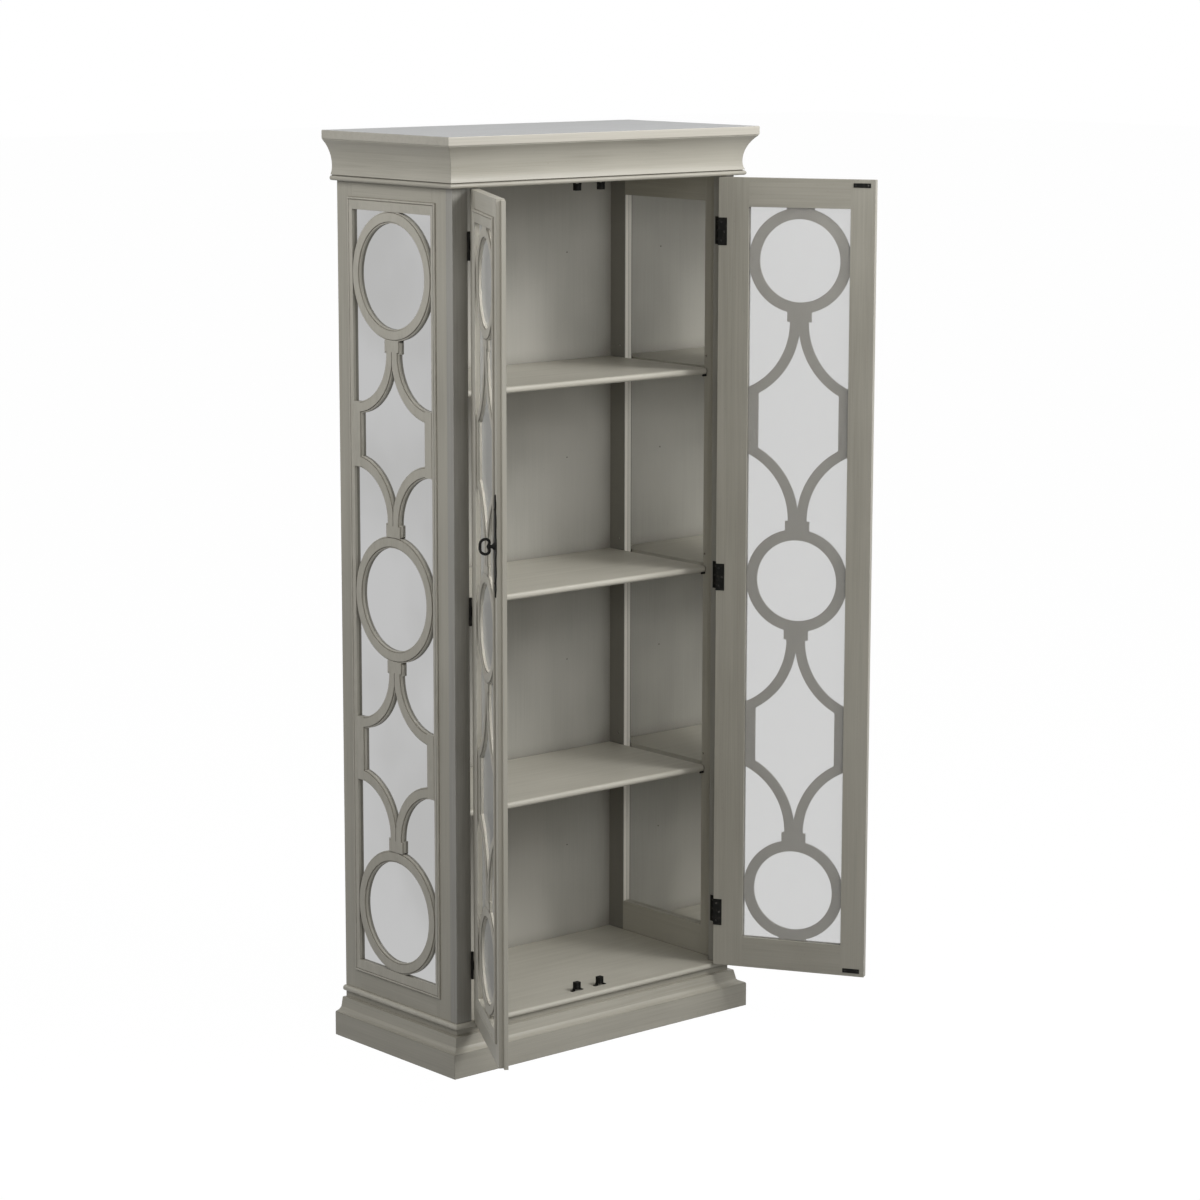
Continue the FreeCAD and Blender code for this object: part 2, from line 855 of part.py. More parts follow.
def bow_prism(x, outline):
    """A flat piece of the key's loop, upright and square to the door."""
    side = x - key_bow_tube / 2.0
    return prism([vec(side, y, key_centre_z + z) for y, z in outline], vec(key_bow_tube, 0, 0))


def key_bow(x, y):
    """The key's flat loop."""
    half = key_bow_height / 2.0
    far = y - key_bow_depth
    tube = key_bow_tube
    outer = rounded_outline(far, y, -half, half, [key_bow_corner] * 4, key_bow_steps)
    radii = [key_bow_corner - tube / 2.0] * 4
    inner = rounded_outline(far + tube, y - tube, tube - half, half - tube, radii, key_bow_steps)
    return bow_prism(x, outer).cut(bow_prism(x, inner))


# Doors.


def door_pane():
    """The glass of the right door, let into grooves all round."""
    return box(
        open_inner_x - glass_groove_depth,
        open_outer_x + glass_groove_depth,
        glass_out_y,
        glass_in_y,
        open_bottom_z - glass_groove_depth,
        open_top_z + glass_groove_depth,
    )


def door_bar(x0, x1, z0, z1):
    """One frame member of the right door, grooved for the glass."""
    return box(x0, x1, face_y, door_inner_y, z0, z1).cut(door_pane())


def make_strikes():
    """The two striking plates at the free edge of the right door."""
    solids = []
    x = door_free_x + strike_from_edge
    rear = door_inner_y + strike_thickness
    for z in (door_bottom_z + strike_edge_inset, door_top_z - strike_edge_inset):
        half_l = strike_length / 2.0
        half_h = strike_height / 2.0
        solids.append(box(x - half_l, x + half_l, door_inner_y, rear, z - half_h, z + half_h))
    return Part.makeCompound(solids)


def make_door():
    """The right door's pieces, closed, without hand-specific ones."""
    parts = {}
    parts["hinge_stile"] = door_bar(open_outer_x, door_hinge_x, door_bottom_z, door_top_z)
    parts["top_rail"] = door_bar(open_inner_x, open_outer_x, open_top_z, door_top_z)
    parts["bottom_rail"] = door_bar(open_inner_x, open_outer_x, door_bottom_z, open_bottom_z)
    parts["glass"] = door_pane()
    middle_x = (open_inner_x + open_outer_x) / 2.0
    middle_z = (open_bottom_z + open_top_z) / 2.0
    trim = trim_frame(open_outer_x - open_inner_x, open_top_z - open_bottom_z)
    parts["moulding"] = stand_front(trim, middle_x, face_y, middle_z)
    parts["fretwork"] = stand_front(door_fretwork(), middle_x, glass_out_y, middle_z)
    parts["hinge_leaves"] = make_door_leaves()
    parts["strike_plates"] = make_strikes()
    parts["key_pull"] = make_key_pull(door_free_x + plate_from_edge)
    return parts


def right_door():
    """The right door, with a plain meeting stile."""
    parts = make_door()
    parts["meeting_stile"] = door_bar(door_free_x, open_inner_x, door_bottom_z, door_top_z)
    return parts


def left_door():
    """The left door, whose meeting edge is stepped at the front."""
    parts = make_door()
    strip_x = door_free_x + strip_width
    parts["meeting_stile"] = door_bar(strip_x, open_inner_x, door_bottom_z, door_top_z)
    strip_y = door_inner_y - strip_thickness
    strip_top = door_top_z - strip_top_drop
    parts["meeting_strip"] = box(door_free_x, strip_x, strip_y, door_inner_y, door_bottom_z, strip_top)
    return {name: mirrored(shape) for name, shape in parts.items()}


def swing(parts, x, angle):
    """Turns a door about its hinge line."""
    turned = {}
    for name, shape in parts.items():
        copy = shape.copy()
        copy.rotate(vec(x, pivot_y, 0), vec(0, 0, 1), angle)
        turned[name] = copy
    return turned


# Cabinet.


def make_frame_front():
    """Posts and the rail between them."""
    plan = rounded_outline(post_inner_x, carcass_half, face_y, post_rear_y,
                           [post_edge_round, 0, 0, 0], post_round_steps)
    height = slab_bottom_z - board_top_z
    post = prism([vec(x, y, board_top_z) for x, y in plan], vec(0, 0, height))
    rail = box(-post_inner_x, post_inner_x, face_y, post_rear_y, crown_bottom_z, slab_bottom_z)
    return {"right_post": post, "left_post": mirrored(post), "top_front_rail": rail}


def make_cabinet():
    """Every node of the standing part."""
    parts = make_frame_front()
    parts["top_slab"] = make_top_slab()
    reach = crown_cove_out + cut_small
    parts["crown_front"] = moulding_front(crown_steps(), 0.0, reach)
    parts["crown_right"] = moulding_side(crown_steps(), 0.0, reach)
    parts["crown_left"] = mirrored(parts["crown_right"])
    for name, shape in make_side().items():
        parts["right_side_" + name] = shape
        parts["left_side_" + name] = mirrored(shape)
    parts["back_panel"] = make_back_panel()
    inner_top_z = crown_bottom_z + inner_top_thickness
    parts["inner_top"] = box(-side_inner_x, side_inner_x, post_rear_y, back_inner_y,
                             crown_bottom_z, inner_top_z)
    parts["bottom_board"] = make_bottom_board()
    base_reach = plinth_out + cut_small
    parts["base_moulding_front"] = moulding_front(base_steps(), base_back_in, base_reach)
    parts["base_moulding_right"] = moulding_side(base_steps(), base_back_in, base_reach)
    parts["base_moulding_left"] = mirrored(parts["base_moulding_right"])
    plinth_inner = plinth_board - plinth_out
    parts["plinth_front"] = moulding_front(plinth_steps(), plinth_inner, plinth_out)
    parts["plinth_right"] = moulding_side(plinth_steps(), plinth_inner, plinth_out)
    parts["plinth_left"] = mirrored(parts["plinth_right"])
    parts["plinth_back"] = make_plinth_back()
    parts["plinth_centre_bearer"] = make_bearer()
    for name, top in shelf_tops():
        parts[name + "_shelf"] = make_shelf(top)
    parts["shelf_pins"] = make_pins()
    parts["magnetic_catches"] = make_catches()
    parts["hinge_post_leaves"] = make_post_leaves()
    return parts


def main():
    """Builds all nodes and writes one file for each."""
    os.makedirs("parts", exist_ok=True)
    nodes = make_cabinet()
    for name, shape in swing(right_door(), pivot_x, right_rest_angle).items():
        nodes["right_door_" + name] = shape
    for name, shape in swing(left_door(), -pivot_x, left_rest_angle).items():
        nodes["left_door_" + name] = shape
    for name in sorted(nodes):
        nodes[name].exportStep("parts/" + name + ".step")
    print(len(nodes), "nodes")


main()
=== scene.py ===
"""Looks for the tall two-door display cabinet: finishes, fretwork, fittings, light and camera."""

import json
import logging
import math
from collections.abc import Iterator, Sequence
from dataclasses import dataclass, field
from enum import Enum

import bmesh
import bpy
from mathutils import Matrix, Vector

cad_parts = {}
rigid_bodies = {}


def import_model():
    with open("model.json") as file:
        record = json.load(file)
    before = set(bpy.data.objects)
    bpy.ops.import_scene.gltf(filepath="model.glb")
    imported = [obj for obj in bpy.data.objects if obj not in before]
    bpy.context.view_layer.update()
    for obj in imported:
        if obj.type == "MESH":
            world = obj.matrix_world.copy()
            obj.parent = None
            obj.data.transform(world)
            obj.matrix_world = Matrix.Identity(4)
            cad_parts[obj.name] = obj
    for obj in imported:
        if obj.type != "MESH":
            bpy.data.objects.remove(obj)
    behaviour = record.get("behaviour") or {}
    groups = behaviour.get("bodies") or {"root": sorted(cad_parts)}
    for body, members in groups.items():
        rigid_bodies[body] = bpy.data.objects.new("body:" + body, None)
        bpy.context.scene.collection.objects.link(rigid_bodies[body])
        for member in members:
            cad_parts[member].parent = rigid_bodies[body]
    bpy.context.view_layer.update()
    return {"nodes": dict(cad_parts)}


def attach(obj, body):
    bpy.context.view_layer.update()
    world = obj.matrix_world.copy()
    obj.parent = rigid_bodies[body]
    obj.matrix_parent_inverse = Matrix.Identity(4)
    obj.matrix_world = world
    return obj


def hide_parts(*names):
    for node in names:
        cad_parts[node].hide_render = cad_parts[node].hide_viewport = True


LOG = logging.getLogger("display_cabinet")
Number = float | int
Triple = tuple[float, float, float]
Colour = tuple[float, float, float]
Span = tuple[float, float]
Outline = list[tuple[float, float]]

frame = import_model()

# Hinge lines and rest angles of the two doors, as the frame has them.
PIVOT_X = 0.368
PIVOT_Y = -0.1943
LEFT_ANGLE = -120.0
RIGHT_ANGLE = 121.5

QUARTER = math.radians(90.0)
WHITE: Colour = (1.0, 1.0, 1.0)


class Body(Enum):
    """The bodies that a piece can ride on."""

    CABINET = "cabinet"
    LEFT_DOOR = "left_door"
    RIGHT_DOOR = "right_door"

    def placed(self) -> Matrix:
        """Transform from a closed door, or the cabinet, to where the body rests."""
        if self is Body.CABINET:
            return Matrix.Identity(4)
        side = 1.0 if self is Body.RIGHT_DOOR else -1.0
        angle = RIGHT_ANGLE if self is Body.RIGHT_DOOR else LEFT_ANGLE
        pivot = Matrix.Translation((side * PIVOT_X, PIVOT_Y, 0.0))
        return pivot @ Matrix.Rotation(math.radians(angle), 4, "Z") @ pivot.inverted()


class Grain(Enum):
    """Which way the brush ran on a board."""

    UP = "up"
    ACROSS = "across"
    DEEP = "deep"
    LEFT_DOOR = "left door rails"
    RIGHT_DOOR = "right door rails"
    SHAPED = "shaped"

    def turn(self) -> Triple:
        """Rotation that lays the strokes along Z, on a door after it is turned shut."""
        if self in (Grain.UP, Grain.SHAPED):
            return (0.0, 0.0, 0.0)
        if self is Grain.DEEP:
            return (QUARTER, 0.0, 0.0)
        return (0.0, QUARTER, 0.0)

    def door_angle(self) -> float:
        """How far the door that carries the board stands open."""
        return {Grain.LEFT_DOOR: LEFT_ANGLE, Grain.RIGHT_DOOR: RIGHT_ANGLE}.get(self, 0.0)


# Shader maths.


class Sock:
    """An output socket that can be used in plain arithmetic."""

    def __init__(self, tree: "Tree", socket: bpy.types.NodeSocket) -> None:
        """Wraps one socket.

        Args:
            tree: the tree that new nodes go to.
            socket: the output socket.
        """
        self.tree = tree
        self.socket = socket

    def _math(self, operation: str, *operands: "Sock | Number") -> "Sock":
        """Adds one Math node over the operands."""
        return self.tree.add("ShaderNodeMath", {"operation": operation}, operands)

    def __add__(self, other: "Sock | Number") -> "Sock":
        """Sum."""
        return self._math("ADD", self, other)

    def __radd__(self, other: Number) -> "Sock":
        """Sum with a number on the left."""
        return self._math("ADD", other, self)

    def __sub__(self, other: "Sock | Number") -> "Sock":
        """Difference."""
        return self._math("SUBTRACT", self, other)

    def __rsub__(self, other: Number) -> "Sock":
        """Difference from a number on the left."""
        return self._math("SUBTRACT", other, self)

    def __mul__(self, other: "Sock | Number") -> "Sock":
        """Product."""
        return self._math("MULTIPLY", self, other)

    def __rmul__(self, other: Number) -> "Sock":
        """Product with a number on the left."""
        return self._math("MULTIPLY", other, self)

    def __pow__(self, other: "Sock | Number") -> "Sock":
        """Power."""
        return self._math("POWER", self, other)

    def __abs__(self) -> "Sock":
        """The value without its sign."""
        return self._math("ABSOLUTE", self)

    def below(self, limit: float) -> "Sock":
        """One where the value lies under the limit, else zero."""
        return self._math("LESS_THAN", self, limit)

    def clamped(self) -> "Sock":
        """The value kept between 0 and 1."""
        return self.tree.add("ShaderNodeMath", {"operation": "MULTIPLY", "use_clamp": True}, [self, 1.0])

    def between(self, low: float, high: float) -> "Sock":
        """A smooth step from 0 at low to 1 at high."""
        settings = {"interpolation_type": "SMOOTHSTEP"}
        values = {"Value": self, "From Min": low, "From Max": high}
        return self.tree.add("ShaderNodeMapRange", settings, values)

    def tint(self, first: "Sock | Colour", second: "Sock | Colour") -> "Sock":
        """A colour between two, with this value as the share of the second."""
        settings = {"data_type": "RGBA", "clamp_factor": True}
        values = {0: self, 6: first, 7: second}
        return self.tree.add("ShaderNodeMix", settings, values, output=2)


class Tree:
    """A node tree, whose nodes all come from one method."""

    def __init__(self, nodes: bpy.types.NodeTree) -> None:
        """Empties the tree and keeps it.

        Args:
            nodes: the node tree to fill.
        """
        self.nodes = nodes
        self.nodes.nodes.clear()

    def add(
        self,
        kind: str,
        settings: dict[str, object] | None = None,
        inputs: dict[str | int, object] | Sequence[object] = (),
        output: int | str = 0,
    ) -> Sock:
        """Adds a node, sets it up and links it.

        Args:
            kind: the node's type name.
            settings: attributes that are set first.
            inputs: socket values or links, by name or index, or in order.
            output: which output to hand back.

        Returns:
            The wrapped output socket, or the first input of a node that has no output.
        """
        node = self.nodes.nodes.new(kind)
        for name, value in (settings or {}).items():
            setattr(node, name, value)
        pairs = inputs.items() if isinstance(inputs, dict) else enumerate(inputs)
        for key, value in pairs:
            socket = node.inputs[key]
            if isinstance(value, Sock):
                self.nodes.links.new(value.socket, socket)
            elif socket.type == "RGBA":
                socket.default_value = (*value, 1.0)
            else:
                socket.default_value = value
        return Sock(self, node.outputs[output] if node.outputs else node.inputs[0])

    def spot(self) -> Sock:
        """Object coordinates."""
        return self.add("ShaderNodeTexCoord", output="Object")

    def axis(self, letter: str) -> Sock:
        """One of the object coordinates: X, Y or Z."""
        return self.add("ShaderNodeSeparateXYZ", {}, {"Vector": self.spot()}, output=letter)

    def noise(self, scale: float, detail: float) -> Sock:
        """Noise that is alike in all directions."""
        values = {"Vector": self.spot(), "Scale": scale, "Detail": detail}
        return self.add("ShaderNodeTexNoise", {}, values)

    def principled(self, values: dict[str, object]) -> Sock:
        """The standard surface with some of its values or links."""
        return self.add("ShaderNodeBsdfPrincipled", {}, values)

    def sight(self) -> Sock:
        """One for rays from the eye, from gloss and through a pane, else zero."""
        kinds = ("Is Camera Ray", "Is Glossy Ray", "Is Transmission Ray")
        seen, gloss, through = (self.add("ShaderNodeLightPath", output=kind) for kind in kinds)
        return (seen + gloss + through).clamped()


# Finishes.


@dataclass(frozen=True)
class Finish:
    """A named surface."""

    name: str

    def build(self) -> bpy.types.Material:
        """Builds the material from the surface."""
        material = bpy.data.materials.new(self.name)
        material.use_nodes = True
        tree = Tree(material.node_tree)
        tree.add("ShaderNodeOutputMaterial", {}, {"Surface": self._surface(tree)})
        return material

    def _surface(self, tree: Tree) -> Sock:
        """Adds the surface's nodes and hands back its shader."""
        raise NotImplementedError


@dataclass(frozen=True)
class AntiquePaint(Finish):
    """Brushed grey-beige paint with a darker glaze and painted shade in corners and quirks, and where set
    painted shade, painted highlights and a painted reflection on chosen faces.
    """

    grain: Grain = Grain.UP
    base: Colour = (0.402, 0.383, 0.326)
    pale: Colour = (0.460, 0.440, 0.378)
    deep: Colour = (0.336, 0.318, 0.266)
    # The glaze colour tints dark specks, and the glaze and painted shade that ambient occlusion lays in
    # corners and recesses; reach, amount and span set that darkening.
    glaze: Colour = (0.115, 0.096, 0.070)
    glaze_and_shade_reach: float = 0.006
    glaze_and_shade_amount: float = 0.75
    glaze_and_shade_span: Span = (0.26, 0.74)
    roughness: float = 0.46
    roughness_spread: float = 0.16
    specular: float = 0.42
    streaks: float = 0.42
    clouding: float = 0.55
    stroke_scale: float = 420.0
    stroke_span: Span = (0.32, 0.70)
    broad_scale: float = 60.0
    along_scale: float = 5.0
    shaped_along_scale: float = 40.0
    cloud_scale: Triple = (3.2, 3.2, 2.4)
    tone_span: Span = (0.36, 0.64)
    speck_scale: float = 240.0
    speck_span: Span = (0.70, 0.76)
    speck_amount: float = 0.30
    relief_strength: float = 0.16
    relief_depth: float = 0.0005
    edge_radius: float = 0.0009
    # Painted shade on a board's face towards the inside, and a painted highlight on the reveal of its
    # opening.
    inside: float = 0.0
    inside_edge: float = 0.3925
    inside_painted_shade: Colour = (0.070, 0.068, 0.060)
    reveal: Colour = (0.780, 0.750, 0.680)
    reveal_edge: float = 0.4015
    reveal_highlight_amount: float = 0.9
    # Painted highlight along the slab's front edge, and painted reflection on its top in a cooler grey.
    nose_y: float | None = None
    nose_highlight: Colour = (0.545, 0.518, 0.452)
    top_z: float = 2.0826
    top: Colour = (0.405, 0.410, 0.412)

    def _along_strokes(self, tree: Tree) -> Sock:
        """Object coordinates turned so that Z runs along the brush strokes."""
        where = tree.spot()
        angle = self.grain.door_angle()
        if angle:
            shut = (0.0, 0.0, math.radians(-angle))
            where = tree.add("ShaderNodeMapping", {}, {"Vector": where, "Rotation": shut})
        return tree.add("ShaderNodeMapping", {}, {"Vector": where, "Rotation": self.grain.turn()})

    def _noise(self, tree: Tree, where: Sock, scale: Triple, detail: float) -> Sock:
        """Noise stretched by three scales."""
        stretched = tree.add("ShaderNodeMapping", {}, {"Vector": where, "Scale": scale})
        values = {"Vector": stretched, "Scale": 1.0, "Detail": detail, "Roughness": 0.55}
        return tree.add("ShaderNodeTexNoise", {}, values)

    def _glaze_and_painted_shade(self, tree: Tree, broad: Sock) -> Sock:
        """How much glaze and painted shade a spot gets, from how closed in it is: ambient occlusion darkens
        corners and recesses.
        """
        settings = {"samples": 6, "only_local": False}
        reach = {"Distance": self.glaze_and_shade_reach}
        open_air = tree.add("ShaderNodeAmbientOcclusion", settings, reach, output="AO")
        darkened = (1.0 - open_air).between(*self.glaze_and_shade_span) * (0.72 + broad * 0.5)
        return (darkened * self.glaze_and_shade_amount).clamped()

    def _inner_face(self, tree: Tree, colour: Sock) -> Sock:
        """A painted highlight on the reveal in the opening, and painted shade on the face towards the
        inside.
        """
        depth = abs(tree.axis("X"))
        colour = (depth.below(self.reveal_edge) * self.reveal_highlight_amount).tint(colour, self.reveal)
        pairs = zip(self.base, self.inside_painted_shade)
        dark = tuple(base * (1.0 - self.inside) + shade * self.inside for base, shade in pairs)
        return depth.below(self.inside_edge).tint(colour, dark)

    def _nose_and_top(self, tree: Tree, colour: Sock, grainy: Sock, broad: Sock) -> Sock:
        """Painted highlight on the slab's front edge, and painted reflection, a cooler grey, on its top."""
        front = tree.axis("Y").below(self.nose_y)
        colour = (front * (0.7 + grainy * 0.3)).tint(colour, self.nose_highlight)
        above = 1.0 - tree.axis("Z").below(self.top_z)
        return (above * (0.7 + broad * 0.5)).clamped().tint(colour, self.top)

    def _surface(self, tree: Tree) -> Sock:
        """Strokes, cloudiness, glaze with painted shade in corners, and the fine relief of the brush."""
        where = self._along_strokes(tree)
        along = self.shaped_along_scale if self.grain is Grain.SHAPED else self.along_scale
        strokes = self._noise(tree, where, (self.stroke_scale, self.stroke_scale, along), 4.0)
        broad = self._noise(tree, where, (self.broad_scale, self.broad_scale, along * 0.5), 3.0)
        cloud = self._noise(tree, where, self.cloud_scale, 2.0)
        grainy = strokes.between(*self.stroke_span)
        tone = (broad * (1.0 - self.clouding) + cloud * self.clouding).between(*self.tone_span)
        colour = (grainy * self.streaks).tint(tone.tint(self.deep, self.base), self.pale)
        specks = self._noise(tree, where, (self.speck_scale,) * 3, 2.0).between(*self.speck_span)
        colour = (specks * self.speck_amount).tint(colour, self.glaze)
        # Glaze and painted shade: darker in corners and recesses, from ambient occlusion.
        colour = self._glaze_and_painted_shade(tree, broad).tint(colour, self.glaze)
        # Painted shade on the inner face, and a painted highlight on its reveal.
        if self.inside > 0.0:
            colour = self._inner_face(tree, colour)
        # Painted highlight on the slab's front edge and painted reflection on its top.
        if self.nose_y is not None:
            colour = self._nose_and_top(tree, colour, grainy, broad)
        relief = {
            "Strength": self.relief_strength,
            "Distance": self.relief_depth,
            "Height": strokes * 0.6 + broad * 0.4,
            "Normal": tree.add("ShaderNodeBevel", {"samples": 4}, {"Radius": self.edge_radius}),
        }
        values = {
            "Base Color": colour,
            "Roughness": self.roughness + (grainy - 0.5) * self.roughness_spread,
            "Normal": tree.add("ShaderNodeBump", {}, relief),
            "Specular IOR Level": self.specular,
        }
        return tree.principled(values)


@dataclass(frozen=True)
class GlazeAndShadeFilm(Finish):
    """Dark glaze and painted shade, laid as a film beside a step."""

    dark: Colour = (0.105, 0.092, 0.070)
    thin: Colour = (0.215, 0.196, 0.160)
    worn_scale: float = 38.0
    worn_span: Span = (0.45, 0.70)
    worn_amount: float = 0.85
    fine_scale: float = 600.0
    roughness: float = 0.45
    roughness_spread: float = 0.2

    def _surface(self, tree: Tree) -> Sock:
        """Dark with worn stretches."""
        worn = tree.noise(self.worn_scale, 4.0).between(*self.worn_span) * self.worn_amount
        rough = self.roughness + tree.noise(self.fine_scale, 2.0) * self.roughness_spread
        return tree.principled({"Base Color": worn.tint(self.dark, self.thin), "Roughness": rough})


@dataclass(frozen=True)
class MirrorPane(Finish):
    """Silvered pane, a slightly grey mirror outside and a brighter one inside."""

    silver: Colour = (0.52, 0.52, 0.52)
    worn: Colour = (0.46, 0.46, 0.455)
    inner: Colour = (0.84, 0.84, 0.83)
    middle: float = 0.4038
    haze_scale: float = 2.5
    haze_span: Span = (0.35, 0.65)
    dust_scale: float = 160.0
    dust_span: Span = (0.55, 0.8)
    roughness: float = 0.015
    dust_roughness: float = 0.035

    def _surface(self, tree: Tree) -> Sock:
        """A clear reflection with faint clouding."""
        haze = tree.noise(self.haze_scale, 3.0).between(*self.haze_span)
        dust = tree.noise(self.dust_scale, 2.0).between(*self.dust_span)
        inside = abs(tree.axis("X")).below(self.middle)
        values = {
            "Base Color": inside.tint(haze.tint(self.silver, self.worn), self.inner),
            "Metallic": 1.0,
            "Roughness": self.roughness + dust * self.dust_roughness,
        }
        return tree.principled(values)


@dataclass(frozen=True)
class DoorGlass(Finish):
    """Faintly grey clear pane with a film of dust that shows more at a slant."""

    tone: Colour = (0.68, 0.68, 0.68)
    film: Colour = (0.62, 0.62, 0.60)
    film_share: float = 0.10
    film_grazing: float = 0.85
    film_rise: float = 3.0
    smear_scale: float = 45.0
    smear_span: Span = (0.5, 0.8)
    smear_roughness: float = 0.03
    shadow: Colour = (0.8, 0.8, 0.8)

    def _surface(self, tree: Tree) -> Sock:
        """Clear glass that lets light through to what stands behind it."""
        smear = tree.noise(self.smear_scale, 3.0).between(*self.smear_span)
        values = {
            "Base Color": self.tone,
            "Roughness": smear * self.smear_roughness,
            "IOR": 1.45,
            "Transmission Weight": 1.0,
        }
        glass = tree.principled(values)
        dust = tree.add("ShaderNodeBsdfDiffuse", {}, {"Color": self.film})
        grazing = tree.add("ShaderNodeLayerWeight", {}, {"Blend": 0.5}, output="Facing")
        share = (grazing**self.film_rise * self.film_grazing + self.film_share).clamped()
        pane = tree.add("ShaderNodeMixShader", {}, [share, glass, dust])
        clear = tree.add("ShaderNodeBsdfTransparent", {}, {"Color": self.shadow})
        shadow_ray = tree.add("ShaderNodeLightPath", output="Is Shadow Ray")
        return tree.add("ShaderNodeMixShader", {}, [shadow_ray, pane, clear])


@dataclass(frozen=True)
class BlackIron(Finish):
    """Blackened hardware, rubbed a little in patches."""

    dark: Colour = (0.010, 0.010, 0.009)
    rubbed: Colour = (0.030, 0.028, 0.024)
    roughness: float = 0.55
    roughness_spread: float = 0.25
    metallic: float = 0.15
    specular: float = 0.10
    cast_scale: float = 900.0
    cast_depth: float = 0.0003
    cast_strength: float = 0.25
    patch_scale: float = 120.0
    patch_span: Span = (0.48, 0.74)
    patch_amount: float = 0.8

    def _surface(self, tree: Tree) -> Sock:
        """Black with rubbed patches and a fine cast texture."""
        cast = tree.noise(self.cast_scale, 3.0)
        patch = tree.noise(self.patch_scale, 2.0).between(*self.patch_span) * self.patch_amount
        relief = {"Strength": self.cast_strength, "Distance": self.cast_depth, "Height": cast}
        values = {
            "Base Color": patch.tint(self.dark, self.rubbed),
            "Metallic": self.metallic,
            "Roughness": self.roughness + (cast - 0.5) * self.roughness_spread,
            "Normal": tree.add("ShaderNodeBump", {}, relief),
            "Specular IOR Level": self.specular,
        }
        return tree.principled(values)


@dataclass(frozen=True)
class PaleFloor(Finish):
    """Mostly plain white to the eye, with the object's shadow left in."""

    matt: Colour = (0.20, 0.20, 0.20)
    plain_share: float = 0.89
    glow: float = 1.11

    def _surface(self, tree: Tree) -> Sock:
        """A matt floor under an even glow."""
        matt = tree.add("ShaderNodeBsdfDiffuse", {}, {"Color": self.matt})
        glow = tree.add("ShaderNodeEmission", {}, {"Color": WHITE, "Strength": self.glow})
        return tree.add("ShaderNodeMixShader", {}, [tree.sight() * self.plain_share, matt, glow])


